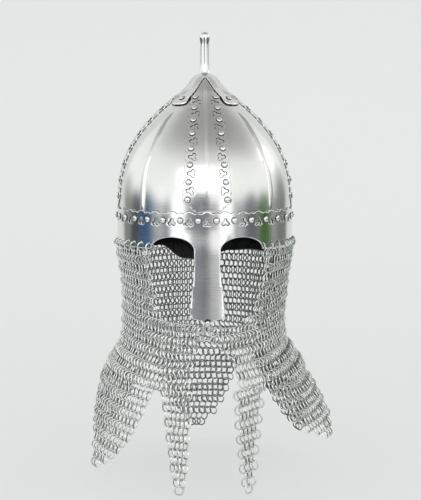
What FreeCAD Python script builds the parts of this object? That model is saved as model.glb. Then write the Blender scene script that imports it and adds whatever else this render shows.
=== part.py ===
"""A pointed helmet of four riveted plates with fretted straps, a brow band with a nasal, and a mail aventail.

Millimetres. The origin is the centre of the rim, +Z runs up through the spike and the face looks along -Y.
The sheets of the skull and the mail are built from flat facets on one grid of turns round the upright axis,
stretched from front to back to the oval of a head, so that the layers nest. Turns are written as shares of a
full one, and the last block writes one file for each piece.
"""
import FreeCAD, Part
import math
import os
import Sketcher
from FreeCAD import Placement, Rotation, Vector

# Driving sizes
SIZES = {
    # the skull: four plates, from the rim to a pointed crown
    "shell_width": 204.0,
    "shell_depth": 226.0,
    "dome_height": 190.0,
    "wall_height": 45.0,
    "plate_thickness": 1.6,
    "seat_gap": 0.2,
    "plate_seam": 0.8,
    "brow_clearance_height": 17.0,
    "rib_width": 5.0,
    "rib_height": 1.2,
    "rib_top_height": 152.0,
    # the four straps and their rivets
    "strap_thickness": 1.2,
    "strap_row_low": 21.4,
    "strap_row_high": 11.2,
    "strap_margin": 5.5,
    "strap_scallop": 1.4,
    "strap_trefoil_radius": 4.0,
    "strap_trefoil_inset": 2.5,
    "strap_foot_width": 25.6,
    "strap_foot_height": 50.0,
    "strap_end_radius": 9.0,
    "crease_width": 3.0,
    "crease_height": 0.5,
    "crease_end_radius": 18.0,
    "first_rivet_height": 55.0,
    "rivet_pitch": 19.0,
    "strap_rivet_width": 6.5,
    # the brow band
    "band_thickness": 1.6,
    "band_height": 41.0,
    "band_scallop": 2.5,
    "band_notch_width": 9.0,
    "band_rivet_height": 32.5,
    "band_rivet_width": 6.9,
    "band_trefoil_height": 30.2,
    "band_trefoil_radius": 4.7,
    "rivet_rise": 2.2,
    # the eye arches and the nasal
    "eye_offset": 37.7,
    "eye_width": 46.6,
    "eye_height": 14.0,
    "nasal_width": 28.8,
    "nasal_waist_width": 28.0,
    "nasal_waist_drop": 17.0,
    "nasal_foot_width": 37.8,
    "nasal_foot_drop": 69.0,
    "nasal_tongue_width": 9.0,
    "nasal_drop": 77.8,
    "nasal_face_width": 24.0,
    "nasal_rise": 24.0,
    "nasal_bevel": 4.0,
    "nasal_lean": 5.0,
    "hook_radius": 3.0,
    "hook_width": 7.8,
    # the apex cap, the spike and the washer inside the crown
    "cap_thickness": 1.2,
    "cap_lobe_radius": 48.0,
    "cap_rivet_radius": 38.5,
    "cap_rivet_width": 6.4,
    "tang_diameter": 6.0,
    "tang_clearance": 0.4,
    "spike_length": 50.5,
    "spike_base_width": 20.0,
    "spike_rod_width": 10.4,
    "spike_neck_width": 9.2,
    "spike_ball_diameter": 12.0,
    "washer_width": 20.0,
    "washer_thickness": 1.5,
    "peen_width": 10.0,
    "peen_height": 2.0,
    # the leather liner
    "liner_thickness": 2.0,
    "liner_gap": 0.6,
    "liner_hang": 26.0,
    "liner_hem_inset": 4.5,
    "liner_band_height": 48.0,
    "liner_crown_height": 148.0,
    "liner_crown_radius": 24.0,
    "liner_slot_width": 7.0,
    # the mail
    "ring_diameter": 12.0,
    "ring_wire": 1.5,
    "mail_thickness": 2.6,
    "mail_gap": 0.5,
    "mail_row_rise": 2.4,
    "curtain_drop": 151.0,
    "hem_radius": 120.0,
    "face_width": 122.0,
    "face_drop": 87.0,
    "front_slit_top": 97.0,
    "front_slit_width": 48.0,
    "front_slit_shift": 6.0,
    "dag_length": 112.0,
    "dag_tip_width": 9.0,
    # how far every cutting tool runs past the sheet that it cuts
    "overrun": 6.0,
}

doc = FreeCAD.newDocument("helmet")
sheet = doc.addObject("Spreadsheet::Sheet", "Sizes")
for row, (alias, value) in enumerate(SIZES.items(), start=1):
    sheet.set(f"A{row}", str(value))
    sheet.setAlias(f"A{row}", alias)
doc.recompute()


def size(alias):
    """The value that the sheet holds under this name."""
    return float(sheet.get(alias))


# Shares and counts, which don't grow with the lengths
DOME_POWER_SHARE = 2.4
DOME_BANDS = 8
SAME_POINT = 1e-6
FACETS = 64
STRAP_RIVETS = 8
BAND_RIVETS = 32
RIVET_SIDES = 8
RIVET_TOP_SHARE = 0.6
ROD_SIDES = 16
RING_SIDES = 12
LINER_TONGUES = 8
EYE_STEPS = 10
BALL_STEPS = 6
HOOK_STEPS = 9
HOOK_TURN_SHARE = 0.56
SOFT_FACETS = 32
CURTAIN_RIDGES = 9
DAG_RIDGES = 7
# one lobe of a pierced trefoil: (turn from the lobe's middle, reach as a share of the trefoil's radius)
LOBE_SHARES = [(-0.067, 1.0), (0.067, 1.0), (0.167, 0.42)]
# the strap's edge from one rivet to the next: (place between them, how far the edge bows from its cusps)
SCALLOP_SHARES = [(0.0, 1.0), (0.22, 0.0), (0.5, 1.0), (0.78, 0.0)]
# the nasal's foot: (half width between that of the tongue, 0, and that of the foot, 1, drop down to the hook)
NASAL_FOOT_SHARES = [(1.0, 0.0), (0.95, 0.36), (0.83, 0.56), (0.42, 0.75), (0.12, 0.91)]
# the spike's flare: (radius between that of the rod, 0, and that of the foot, 1, rise in foot radii)
FLARE_SHARES = [(0.4, 0.55), (0.1, 1.0), (0.0, 1.5)]
SPIKE_NECK_SHARE = 1.1
BALL_SEAT_SHARE = 0.8
# where the liner's tongues bend, between the band, 0, and the crown, 1: (radius, height)
TONGUE_SHARE = (0.38, 0.62)
# one side of the mail's slit, from its top to past the hem: (half width, drop)
SLIT_SHARES = [(0.1, 0.0), (0.75, 0.42), (1.0, 1.0)]
# each point of the cap's edge from the middle of a strap to the tip of a lobe: (radius, turn from the strap)
CAP_EDGE_SHARES = [
    (0.25, 0.0),
    (0.37, 0.043),
    (0.58, 0.066),
    (0.80, 0.077),
    (0.94, 0.083),
    (0.985, 0.1),
    (1.0, 0.125),
]
# the mail's outer side from the rim down: (drop, radius between that of the rim, 0, and that of the hem, 1)
CURTAIN_SHARES = [(0.0, 0.0), (0.28, -0.39), (0.68, -0.44), (0.775, -0.22), (1.0, 1.0)]
# one side of the face opening from the rim down: (half width, drop)
FACE_SHARES = [
    (1.0, 0.0),
    (1.0, 0.23),
    (0.95, 0.44),
    (0.89, 0.66),
    (0.79, 0.86),
    (0.6, 0.94),
    (0.33, 1.0),
    (0.08, 0.98),
]

plate_radius = size("shell_width") / 2 - size("band_thickness") - size("seat_gap")
strap_inside = size("seat_gap")
strap_outside = strap_inside + size("strap_thickness")
cap_inside = strap_outside + size("seat_gap")
cap_outside = cap_inside + size("cap_thickness")
tang_radius = size("tang_diameter") / 2
bore_radius = tang_radius + size("tang_clearance")
stretch = size("shell_depth") / size("shell_width")


# The dome's meridian
def dome_radius(height):
    """Radius of the plates' outer face at a height, before the stretch."""
    rise = max(0.0, (height - size("wall_height")) / (size("dome_height") - size("wall_height")))
    return plate_radius * (1.0 - rise**DOME_POWER_SHARE)


def dome_height_at(radius):
    """Height on the curved part of the dome where the plates' outer face has this radius."""
    rise = (1.0 - radius / plate_radius) ** (1.0 / DOME_POWER_SHARE)
    return size("wall_height") + rise * (size("dome_height") - size("wall_height"))


def dome_normal(height):
    """The outward direction (radial, up) of the plates' outer face at a height."""
    span = size("dome_height") - size("wall_height")
    rise = max(0.0, (height - size("wall_height")) / span)
    slope = -plate_radius * DOME_POWER_SHARE * rise ** (DOME_POWER_SHARE - 1.0) / span
    length = math.hypot(1.0, slope)
    return 1.0 / length, -slope / length


def dome_point(height, out):
    """(radius, height) of a point that lies out from the plates' outer face, square to it."""
    radial, up = dome_normal(height)
    return dome_radius(height) + out * radial, height + out * up


# lengths along the meridian, summed over short steps, place what is spaced evenly along it
METER_STEPS = 400
crown_height = dome_height_at(bore_radius + size("plate_thickness"))
meter = [(0.0, size("first_rivet_height"))]
for step in range(1, METER_STEPS + 1):
    below = meter[-1]
    height = size("first_rivet_height") + (crown_height - size("first_rivet_height")) * step / METER_STEPS
    run = math.hypot(height - below[1], dome_radius(height) - dome_radius(below[1]))
    meter.append((below[0] + run, height))


def height_along(length):
    """Height of the point that lies a length up the meridian from the first rivets."""
    for low, high in zip(meter, meter[1:]):
        if high[0] >= length:
            break
    share = (length - low[0]) / (high[0] - low[0])
    return low[1] + share * (high[1] - low[1])


# the heights where every layer of the dome changes slope, so that the layers nest
dome_grid = [0.0]
for band in range(DOME_BANDS + 1):
    even = band / DOME_BANDS
    slowing = math.sin(math.pi / 2 * even)
    dome_grid.append(size("wall_height") + (crown_height - size("wall_height")) * (slowing + even) / 2)


def layer_point(height, out):
    """Like dome_point, but on the straight line between two heights of the grid, and square to that line."""
    for low, high in zip(dome_grid, dome_grid[1:]):
        if high >= height:
            break
    share = (height - low) / (high - low)
    foot, top = dome_point(low, out), dome_point(high, out)
    return foot[0] + share * (top[0] - foot[0]), foot[1] + share * (top[1] - foot[1])


def layer_line(low, high, out):
    """The points of a layer's line from one height to another."""
    heights = [low] + [height for height in dome_grid if low < height < high] + [high]
    return [layer_point(height, out) for height in heights]


# Document objects that the pieces share
def feature(name, shape):
    """A plain object that holds a shape."""
    thing = doc.addObject("Part::Feature", name)
    thing.Shape = shape
    return thing


pieces = []


def finished(thing):
    """Marks an object as one of the pieces, under its own name."""
    thing.Label = thing.Name
    pieces.append(thing)
    return thing


def face_of(points):
    """A flat face inside a closed line through the points."""
    return Part.Face(Part.makePolygon([Vector(*p) for p in points + points[:1]]))


def pierced_face(rim, holes):
    """A flat face inside one closed wire and outside others."""
    return Part.makeFace([rim] + holes, "Part::FaceMakerBullseye")


def skinned(stations, closed=False):
    """A solid with flat faces between like corners of neighbouring outlines, and a face on each open end."""
    faces = []
    pairs = list(zip(stations, stations[1:] + stations[:1])) if closed else list(zip(stations, stations[1:]))
    for here, there in pairs:
        for corner in range(len(here)):
            after = (corner + 1) % len(here)
            points = []
            for point in (here[corner], here[after], there[after], there[corner]):
                if all((point - other).Length > SAME_POINT for other in points):
                    points.append(point)
            if len(points) > 2:
                faces.append(Part.Face(Part.makePolygon(points + points[:1])))
    if not closed:
        faces += [Part.Face(Part.makePolygon(end + end[:1])) for end in (stations[0], stations[-1])]
    solid = Part.Solid(Part.Shell(faces))
    if solid.Volume < 0:
        solid.reverse()
    return solid


def on_oval(radius, height, turn_share):
    """The point of the stretched form with this radius before the stretch and this turn from the front."""
    angle = 2 * math.pi * turn_share
    return Vector(radius * math.sin(angle), -stretch * radius * math.cos(angle), height)


def outward(turn_share):
    """The level direction that is square to the stretched form at this turn from the front."""
    angle = 2 * math.pi * turn_share
    direction = Vector(stretch * math.sin(angle), -math.cos(angle), 0)
    return direction.normalize()


def swept(name, outline, first=0, last=FACETS, inset_share=0.0, facets=FACETS):
    """An outline, a closed list of (radius, height), carried round the oval between two places of a grid."""
    closed = last - first == facets
    stations = []
    for place in range(first, last if closed else last + 1):
        turn_share = place / facets
        if place == first and not closed:
            turn_share += inset_share
        if place == last and not closed:
            turn_share -= inset_share
        stations.append([on_oval(radius, height, turn_share) for radius, height in outline])
    return feature(name, skinned(stations, closed))


def dome_layer(name, low, high, inside, outside, first=0, last=FACETS, inset_share=0.0):
    """A sheet that follows the dome between two heights, inside and outside its plates' outer face."""
    outline = layer_line(low, high, outside) + list(reversed(layer_line(low, high, inside)))
    return swept(name, outline, first, last, inset_share)


def pushed(name, flat, along, length):
    """A flat face pushed along a direction by a length, which is an expression."""
    solid = doc.addObject("Part::Extrusion", name)
    solid.Base = flat
    solid.DirMode = "Custom"
    solid.Dir = Vector(*along)
    solid.Solid = True
    solid.setExpression("LengthFwd", length)
    return solid


def joined(name, kind, *things):
    """A boolean of several objects: Part::MultiCommon or Part::MultiFuse."""
    result = doc.addObject(kind, name)
    result.Shapes = list(things)
    return result


def cut(name, base, tool):
    """The base without the tool."""
    result = doc.addObject("Part::Cut", name)
    result.Base = base
    result.Tool = tool
    return result


def radial_slab(name, width, turn_share):
    """An upright slab from the axis outward, its width an expression that names a size."""
    slab = doc.addObject("Part::Box", name)
    slab.setExpression("Length", "Sizes.shell_depth")
    slab.setExpression("Width", "Sizes." + width)
    slab.setExpression("Height", "Sizes.dome_height")
    toward = on_oval(size("shell_width"), 0, turn_share)
    turned = Rotation(Vector(1, 0, 0), toward)
    slab.Placement = Placement(turned.multVec(Vector(0, -size(width) / 2, 0)), turned)
    return slab


# The four quarter plates: each is one quarter of the dome, with a raised rib down its middle
seam_share = math.asin(size("plate_seam") / 2 / plate_radius) / (2 * math.pi)
half_brow = size("face_width") / 2 + size("overrun") / 2
PLATES = ["front_right_plate", "rear_right_plate", "rear_left_plate", "front_left_plate"]
for quarter, name in enumerate(PLATES):
    first = quarter * FACETS // 4
    last = first + FACETS // 4
    middle_share = (quarter + 0.5) / 4
    under = -size("plate_thickness")
    plate = dome_layer(name + "_sheet", 0.0, crown_height, under, 0.0, first, last, seam_share)
    rib_foot = size("band_height") + size("seat_gap")
    rib_top, rib_rise = size("rib_top_height"), size("rib_height")
    rib_layer = dome_layer(name + "_rib_layer", rib_foot, rib_top, under / 2, rib_rise, first, last)
    rib_slab = radial_slab(name + "_rib_slab", "rib_width", middle_share)
    rib = joined(name + "_rib", "Part::MultiCommon", rib_layer, rib_slab)
    if name.startswith("rear"):
        finished(joined(name, "Part::MultiFuse", plate, rib))
        continue
    ribbed = joined(name + "_ribbed", "Part::MultiFuse", plate, rib)
    brow_room = doc.addObject("Part::Box", name + "_brow_room")
    brow_room.setExpression("Length", "Sizes.face_width + Sizes.overrun")
    brow_room.setExpression("Width", "Sizes.shell_depth")
    brow_room.setExpression("Height", "Sizes.brow_clearance_height")
    brow_room.Placement.Base = Vector(-half_brow, -size("shell_depth"), 0)
    finished(cut(name, ribbed, brow_room))


# A trefoil: three blunt lobes about a centre
def trefoil(radius, facing_share):
    """Points of a pierced trefoil about its centre, as (across, up), with one lobe turned from level."""
    points = []
    for lobe in range(3):
        for off_share, reach_share in LOBE_SHARES:
            angle = 2 * math.pi * (facing_share + lobe / 3 + off_share)
            points.append((radius * reach_share * math.cos(angle), radius * reach_share * math.sin(angle)))
    return points


# The four straps lie over the seams: a tapering foot, scalloped edges and a trefoil between each two rivets
strap_rise = size("rivet_pitch") * (STRAP_RIVETS - 1)


def strap_row(length):
    """Distance of a rivet row from the strap's middle, a length up from the first rivets."""
    share = length / strap_rise
    return size("strap_row_low") + share * (size("strap_row_high") - size("strap_row_low"))


def strap_edge(widening):
    """The strap's edge from foot to top, as (across, height). The oval widens the side straps' mitre."""
    edge = [
        (size("strap_foot_width") / 2, size("band_height") + size("seat_gap")),
        (strap_row(0.0) + size("strap_margin") / 2, size("strap_foot_height")),
    ]
    for gap in range(STRAP_RIVETS - 1):
        for place_share, bow_share in SCALLOP_SHARES:
            length = (gap + place_share) * size("rivet_pitch")
            reach = size("strap_margin") - (1.0 - bow_share) * size("strap_scallop")
            edge.append((strap_row(length) + reach, height_along(length)))
    meet = (edge[-1][0] + size("seat_gap")) * math.sqrt(2) / widening
    for radius in (meet, size("strap_end_radius")):
        edge.append((widening * radius / math.sqrt(2) - size("seat_gap"), dome_height_at(radius)))
    return edge


STRAPS = [("front_strap", 0), ("right_strap", 1), ("rear_strap", 2), ("left_strap", 3)]
for name, quarter in STRAPS:
    first = quarter * FACETS // 4 - FACETS // 8
    last = first + FACETS // 4
    facing = outward(quarter / 4)
    sideways = Vector(0, 0, 1).cross(facing)
    edge = strap_edge(stretch if quarter % 2 else 1.0)
    outline = edge + [(-across, height) for across, height in reversed(edge)]
    holes = []
    for gap in range(STRAP_RIVETS - 1):
        middle = (gap + 0.5) * size("rivet_pitch")
        for side in (1.0, -1.0):
            hole = []
            for across, up in trefoil(size("strap_trefoil_radius"), 0.0):
                off = strap_row(middle) - size("strap_trefoil_inset") + across
                hole.append((side * off, height_along(middle + up)))
            holes.append(hole)
    wires = []
    for line in [outline] + holes:
        points = [sideways * across + Vector(0, 0, height) for across, height in line]
        wires.append(Part.makePolygon(points + points[:1]))
    outline_face = feature(name + "_outline", pierced_face(wires[0], wires[1:]))
    fret = pushed(name + "_fret", outline_face, facing, "Sizes.shell_depth")
    top_height = dome_height_at(size("strap_end_radius"))
    foot_height = size("band_height")
    layer = dome_layer(name + "_layer", foot_height, top_height, strap_inside, strap_outside, first, last)
    strip = joined(name + "_strip", "Part::MultiCommon", layer, fret)
    crease_layer = dome_layer(
        name + "_crease_layer",
        size("strap_foot_height"),
        dome_height_at(size("crease_end_radius")),
        (strap_inside + strap_outside) / 2,
        strap_outside + size("crease_height"),
        first,
        last,
    )
    crease_slab = radial_slab(name + "_crease_slab", "crease_width", quarter / 4)
    crease = joined(name + "_crease", "Part::MultiCommon", crease_layer, crease_slab)
    finished(joined(name, "Part::MultiFuse", strip, crease))


# Rivets: low domed heads with flat sides, each seated on the sheet that it holds
def rivet_head(height, turn_share, out, width):
    """A faceted head of this width, its foot a gap out from the flat of the sheet that it lies on."""
    flat_turn = (math.floor(turn_share * FACETS) + 0.5) / FACETS
    off = 2 * math.pi * (turn_share - flat_turn)
    sag = math.cos(math.pi / FACETS) / math.cos(off)
    low, high = layer_point(height, out), layer_point(height + size("seat_gap"), out)
    angle = 2 * math.pi * flat_turn
    climb, draw = high[1] - low[1], low[0] - high[0]
    normal = Vector(climb * math.sin(angle), -climb * math.cos(angle) / stretch, draw).normalize()
    seat = on_oval(low[0] * sag, low[1], turn_share) + normal * size("seat_gap")
    place = Placement(seat, Rotation(Vector(0, 0, 1), normal))
    stations = []
    for width_share, rise_share in ((1.0, 0.0), (RIVET_TOP_SHARE, 1.0)):
        corners = []
        for corner in range(RIVET_SIDES):
            around = 2 * math.pi * corner / RIVET_SIDES
            reach = width * width_share / 2
            rise = size("rivet_rise") * rise_share
            corners.append(place.multVec(Vector(reach * math.cos(around), reach * math.sin(around), rise)))
        stations.append(corners)
    return skinned(stations)


for name, quarter in STRAPS:
    heads = []
    for place in range(STRAP_RIVETS):
        height = height_along(place * size("rivet_pitch"))
        row = strap_row(place * size("rivet_pitch")) / (stretch if quarter % 2 else 1.0)
        aside_share = math.asin(row / dome_radius(height)) / (2 * math.pi)
        for turn_share in (quarter / 4 - aside_share, quarter / 4 + aside_share):
            width = size("strap_rivet_width")
            heads.append(rivet_head(height, turn_share, strap_outside, width))
    finished(feature(name + "_rivets", Part.makeCompound(heads)))

# The brow band: a ring with a notched top edge and a trefoil between each two rivets, and two eye arches
band_outside = size("seat_gap") + size("band_thickness")
band_outer = plate_radius + band_outside
band_inner = plate_radius + size("seat_gap")
band_ring = swept(
    "band_ring",
    [(band_inner, 0), (band_outer, 0), (band_outer, size("band_height")), (band_inner, size("band_height"))],
)
notch_half = size("band_notch_width") / 2
notch_floor = size("band_height") - size("band_scallop")
notch = [
    (-notch_half, size("band_height") + size("overrun")),
    (-notch_half, size("band_height")),
    (-notch_half / 2, notch_floor),
    (notch_half / 2, notch_floor),
    (notch_half, size("band_height")),
    (notch_half, size("band_height") + size("overrun")),
]
lobes = []
for across, up in trefoil(size("band_trefoil_radius"), 1 / 4):
    lobes.append((across, up + size("band_trefoil_height")))
cutters = []
for place in range(2 * BAND_RIVETS):
    turn_share = place / (2 * BAND_RIVETS)
    facing = outward(turn_share)
    sideways = Vector(0, 0, 1).cross(facing)
    middle = on_oval(band_inner, 0, turn_share) - facing * size("overrun")
    tool = notch if place % 2 else lobes
    points = [middle + sideways * across + Vector(0, 0, height) for across, height in tool]
    flat = Part.Face(Part.makePolygon(points + points[:1]))
    cutters.append(flat.extrude(facing * (size("band_thickness") + 2 * size("overrun"))))
eye_half = size("eye_width") / 2
for side in (-1.0, 1.0):
    middle = side * size("eye_offset")
    arch = [(middle + eye_half, -size("overrun")), (middle - eye_half, -size("overrun"))]
    for step in range(EYE_STEPS + 1):
        angle = math.pi * (1 - step / EYE_STEPS)
        arch.append((middle + eye_half * math.cos(angle), size("eye_height") * math.sin(angle)))
    eye = face_of([(across, -size("shell_depth"), height) for across, height in arch])
    cutters.append(eye.extrude(Vector(0, size("shell_depth"), 0)))
band_fretted = cut("band_fretted", band_ring, feature("band_tools", Part.makeCompound(cutters)))

# The nasal: a gabled sheet that leaves the band between the eyes, leans forward a little on its way down and
# narrows to a tongue, which is curled into a hook
brow_front = -size("shell_depth") / 2
gable_half = size("nasal_foot_width") / 2 + size("overrun") / 4
gable = [
    (-gable_half, size("nasal_bevel")),
    (-size("nasal_face_width") / 2, 0),
    (size("nasal_face_width") / 2, 0),
    (gable_half, size("nasal_bevel")),
]
gable += [(across, depth + size("band_thickness")) for across, depth in reversed(gable)]
nasal_top = brow_front + size("band_thickness") / 2
nasal_foot = nasal_top - size("nasal_lean")
nasal_stations = []
for height, front in ((size("nasal_rise"), nasal_top), (-size("nasal_drop"), nasal_foot)):
    nasal_stations.append([Vector(across, front + depth, height) for across, depth in gable])
nasal_form = feature("nasal_form", skinned(nasal_stations))
foot_half = size("nasal_foot_width") / 2
tongue_half = size("nasal_tongue_width") / 2
hook_half = size("hook_width") / 2
foot_rise = size("nasal_drop") - size("nasal_foot_drop")
nasal_side = [
    (size("nasal_width") / 2, size("brow_clearance_height") - size("seat_gap")),
    (size("nasal_width") / 2, 0.0),
    (size("nasal_waist_width") / 2, -size("nasal_waist_drop")),
]
for width_share, drop_share in NASAL_FOOT_SHARES:
    across = tongue_half + width_share * (foot_half - tongue_half)
    nasal_side.append((across, -size("nasal_foot_drop") - drop_share * foot_rise))
nasal_side.append((hook_half, -size("nasal_drop")))
nasal_outline = nasal_side + [(-across, height) for across, height in reversed(nasal_side)]
nasal_flat = face_of([(across, -size("shell_depth"), height) for across, height in nasal_outline])
nasal_shape = pushed("nasal_shape", feature("nasal_outline", nasal_flat), (0, 1, 0), "Sizes.shell_depth")
nasal = joined("nasal", "Part::MultiCommon", nasal_form, nasal_shape)
hook_middle = Vector(0, nasal_foot - size("hook_radius"), -size("nasal_drop"))
hook_stations = []
for step in range(HOOK_STEPS + 1):
    angle = 2 * math.pi * HOOK_TURN_SHARE * step / HOOK_STEPS
    away = Vector(0, math.cos(angle), -math.sin(angle))
    near = hook_middle + away * size("hook_radius")
    far = hook_middle + away * (size("hook_radius") + size("band_thickness"))
    across = Vector(hook_half, 0, 0)
    hook_stations.append([near - across, near + across, far + across, far - across])
hook = feature("hook", skinned(hook_stations))
finished(joined("brow_band", "Part::MultiFuse", band_fretted, nasal, hook))

band_heads = []
for place in range(BAND_RIVETS):
    turn_share = (place + 0.5) / BAND_RIVETS
    width = size("band_rivet_width")
    band_heads.append(rivet_head(size("band_rivet_height"), turn_share, band_outside, width))
finished(feature("brow_band_rivets", Part.makeCompound(band_heads)))

# The apex cap: a thin cone over the straps' tops, its edge drawn into four lobes that each cover a plate
cap_low = dome_height_at(size("cap_lobe_radius") + size("overrun") / 2)
cap_layer = dome_layer("cap_layer", cap_low, crown_height, cap_inside, cap_outside)
cap_edge = []
for lobe in range(4):
    for radius_share, turn_share in CAP_EDGE_SHARES[:-1]:
        cap_edge.append((radius_share, lobe / 4 + turn_share))
    for radius_share, turn_share in reversed(CAP_EDGE_SHARES[1:]):
        cap_edge.append((radius_share, (lobe + 1) / 4 - turn_share))
cap_points = [on_oval(share * size("cap_lobe_radius"), 0, turn_share) for share, turn_share in cap_edge]
cap_outline = feature("cap_outline", Part.Face(Part.makePolygon(cap_points + cap_points[:1])))
cap_prism = pushed("cap_prism", cap_outline, (0, 0, 1), "2 * Sizes.dome_height")
finished(joined("apex_cap", "Part::MultiCommon", cap_layer, cap_prism))

cap_heads = []
for lobe in range(4):
    height = dome_height_at(size("cap_rivet_radius"))
    turn_share = (lobe + 0.5) / 4
    width = size("cap_rivet_width")
    cap_heads.append(rivet_head(height, turn_share, cap_outside, width))
finished(feature("apex_cap_rivets", Part.makeCompound(cap_heads)))

# The spike: a turned rod with a flared foot, a neck and a ball, and a tang that goes down through the crown
foot_radius = size("spike_base_width") / 2
spike_seat = cap_outside + size("seat_gap")
cap_top = [layer_point(crown_height - drop, spike_seat) for drop in (size("seat_gap"), 0.0)]
cap_slope = (cap_top[1][1] - cap_top[0][1]) / (cap_top[0][0] - cap_top[1][0])


def cap_height_at(radius):
    """Height of the spike's seat at a radius, where the stretched crown stands highest."""
    return cap_top[1][1] + cap_slope * (cap_top[1][0] - radius / stretch)


foot_seat = (foot_radius, cap_height_at(foot_radius))
underside_top = cap_height_at(tang_radius)
washer_reach = size("washer_width") / math.sqrt(2) + size("plate_thickness")
washer_top = layer_point(dome_height_at(washer_reach), -size("plate_thickness"))[1] - size("seat_gap")
washer_low = washer_top - size("washer_thickness")
peen_top = washer_low - size("seat_gap")
spike_top = underside_top + size("spike_length")
ball_radius = size("spike_ball_diameter") / 2
ball_middle = spike_top - ball_radius
neck_radius = size("spike_neck_width") / 2
rod_radius = size("spike_rod_width") / 2
neck_angle = math.asin(BALL_SEAT_SHARE * neck_radius / ball_radius)
spike_outline = [
    (0, peen_top - size("peen_height")),
    (size("peen_width") / 3, peen_top - size("peen_height")),
    (size("peen_width") / 2, peen_top),
    (tang_radius, peen_top),
    (tang_radius, underside_top),
    foot_seat,
]
for radius_share, rise_share in FLARE_SHARES:
    radius = rod_radius + radius_share * (foot_radius - rod_radius)
    spike_outline.append((radius, foot_seat[1] + rise_share * foot_radius))
spike_outline.append((neck_radius, ball_middle - SPIKE_NECK_SHARE * ball_radius))
for step in range(BALL_STEPS + 1):
    angle = neck_angle + (math.pi - neck_angle) * step / BALL_STEPS
    spike_outline.append((ball_radius * math.sin(angle), ball_middle - ball_radius * math.cos(angle)))
spike_outline[-1] = (0, spike_top)
spike_stations = []
for side in range(ROD_SIDES):
    angle = 2 * math.pi * side / ROD_SIDES
    spike_stations.append([Vector(r * math.sin(angle), -r * math.cos(angle), up) for r, up in spike_outline])
finished(feature("spike", skinned(spike_stations, True)))

# The square washer inside the crown, under the plates, that the tang is peened over
washer = doc.addObject("PartDesign::Body", "crown_washer")
floor_plane = next(f for f in washer.Origin.OriginFeatures if f.Role == "XY_Plane")
washer_sketch = washer.newObject("Sketcher::SketchObject", "washer_sketch")
washer_sketch.AttachmentSupport = (floor_plane, [""])
washer_sketch.MapMode = "FlatFace"
half = size("washer_width") / 2
corners = [Vector(-half, -half, 0), Vector(half, -half, 0), Vector(half, half, 0), Vector(-half, half, 0)]
for start, end in zip(corners, corners[1:] + corners[:1]):
    washer_sketch.addGeometry(Part.LineSegment(start, end), False)
washer_sketch.addGeometry(Part.Circle(Vector(), Vector(0, 0, 1), bore_radius), False)
START, END, MIDDLE, ORIGIN, BORE = 1, 2, 3, -1, 4
for edge_number in range(4):
    following = (edge_number + 1) % 4
    washer_sketch.addConstraint(Sketcher.Constraint("Coincident", edge_number, END, following, START))
for edge_number, direction in enumerate(("Horizontal", "Vertical", "Horizontal", "Vertical")):
    washer_sketch.addConstraint(Sketcher.Constraint(direction, edge_number))
washer_sketch.addConstraint(Sketcher.Constraint("Symmetric", 0, START, 2, START, ORIGIN, START))
washer_sketch.addConstraint(Sketcher.Constraint("Coincident", BORE, MIDDLE, ORIGIN, START))
for edge_number in (0, 1):
    number = washer_sketch.addConstraint(Sketcher.Constraint("Distance", edge_number, size("washer_width")))
    washer_sketch.setExpression(f"Constraints[{number}]", "Sizes.washer_width")
number = washer_sketch.addConstraint(Sketcher.Constraint("Diameter", BORE, 2 * bore_radius))
washer_sketch.setExpression(f"Constraints[{number}]", "Sizes.tang_diameter + 2 * Sizes.tang_clearance")
washer_pad = washer.newObject("PartDesign::Pad", "washer_pad")
washer_pad.Profile = washer_sketch
washer_pad.setExpression("Length", "Sizes.washer_thickness")
washer.Placement = Placement(Vector(0, 0, washer_low), Rotation())
finished(washer)

# The leather liner: a band inside the rim that hangs below it, and tongues that draw in under the crown
rim_inner = plate_radius - size("plate_thickness") - size("liner_gap")
wall = size("liner_thickness")
crown_draw = rim_inner - size("liner_crown_radius")
crown_rise = size("liner_crown_height") - size("liner_band_height")
liner_line = [
    (rim_inner - size("liner_hem_inset"), -size("liner_hang")),
    (rim_inner, 0.0),
    (rim_inner, size("liner_band_height")),
    (rim_inner - TONGUE_SHARE[0] * crown_draw, size("liner_band_height") + TONGUE_SHARE[1] * crown_rise),
    (size("liner_crown_radius"), size("liner_crown_height")),
]
liner_outline = liner_line + [(radius - wall, height - wall / 2) for radius, height in reversed(liner_line)]
liner_form = swept("liner_form", liner_outline, last=SOFT_FACETS, facets=SOFT_FACETS)
liner_tools = []
slot_foot = size("liner_band_height") + size("overrun")
slot_half = size("liner_slot_width") / 2
slot_top = 2 * size("liner_crown_height")
for place in range(LINER_TONGUES):
    facing = outward((place + 0.5) / LINER_TONGUES)
    sideways = Vector(0, 0, 1).cross(facing)
    slot = [(0, slot_foot), (slot_half, slot_top), (-slot_half, slot_top)]
    points = [sideways * across + Vector(0, 0, height) for across, height in slot]
    liner_tools.append(Part.Face(Part.makePolygon(points + points[:1])).extrude(facing * size("shell_depth")))
brow_tool_height = size("brow_clearance_height") + 2 * size("liner_hang")
brow_corner = Vector(-half_brow, -size("shell_depth"), -2 * size("liner_hang"))
liner_tools.append(Part.makeBox(2 * half_brow, size("shell_depth"), brow_tool_height, brow_corner))
finished(cut("leather_liner", liner_form, feature("liner_cutters", Part.makeCompound(liner_tools))))

# The mail curtain: hangs from the rim, draws in at the neck and flares over the shoulders. Its rings lean one
# way and the other in rows by turns, so each pair of rows stands out along its middle
rim_radius = size("shell_width") / 2


def mail_point(drop_share):
    """(radius, height) of the curtain's outer side without its ridges, a share of the way down to the hem."""
    for (high_drop, high_radius), (low_drop, low_radius) in zip(CURTAIN_SHARES, CURTAIN_SHARES[1:]):
        if low_drop >= drop_share:
            break
    share = (drop_share - high_drop) / (low_drop - high_drop)
    radius_share = high_radius + share * (low_radius - high_radius)
    radius = rim_radius + radius_share * (size("hem_radius") - rim_radius)
    return radius, -size("mail_gap") - drop_share * (size("curtain_drop") - size("mail_gap"))


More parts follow.
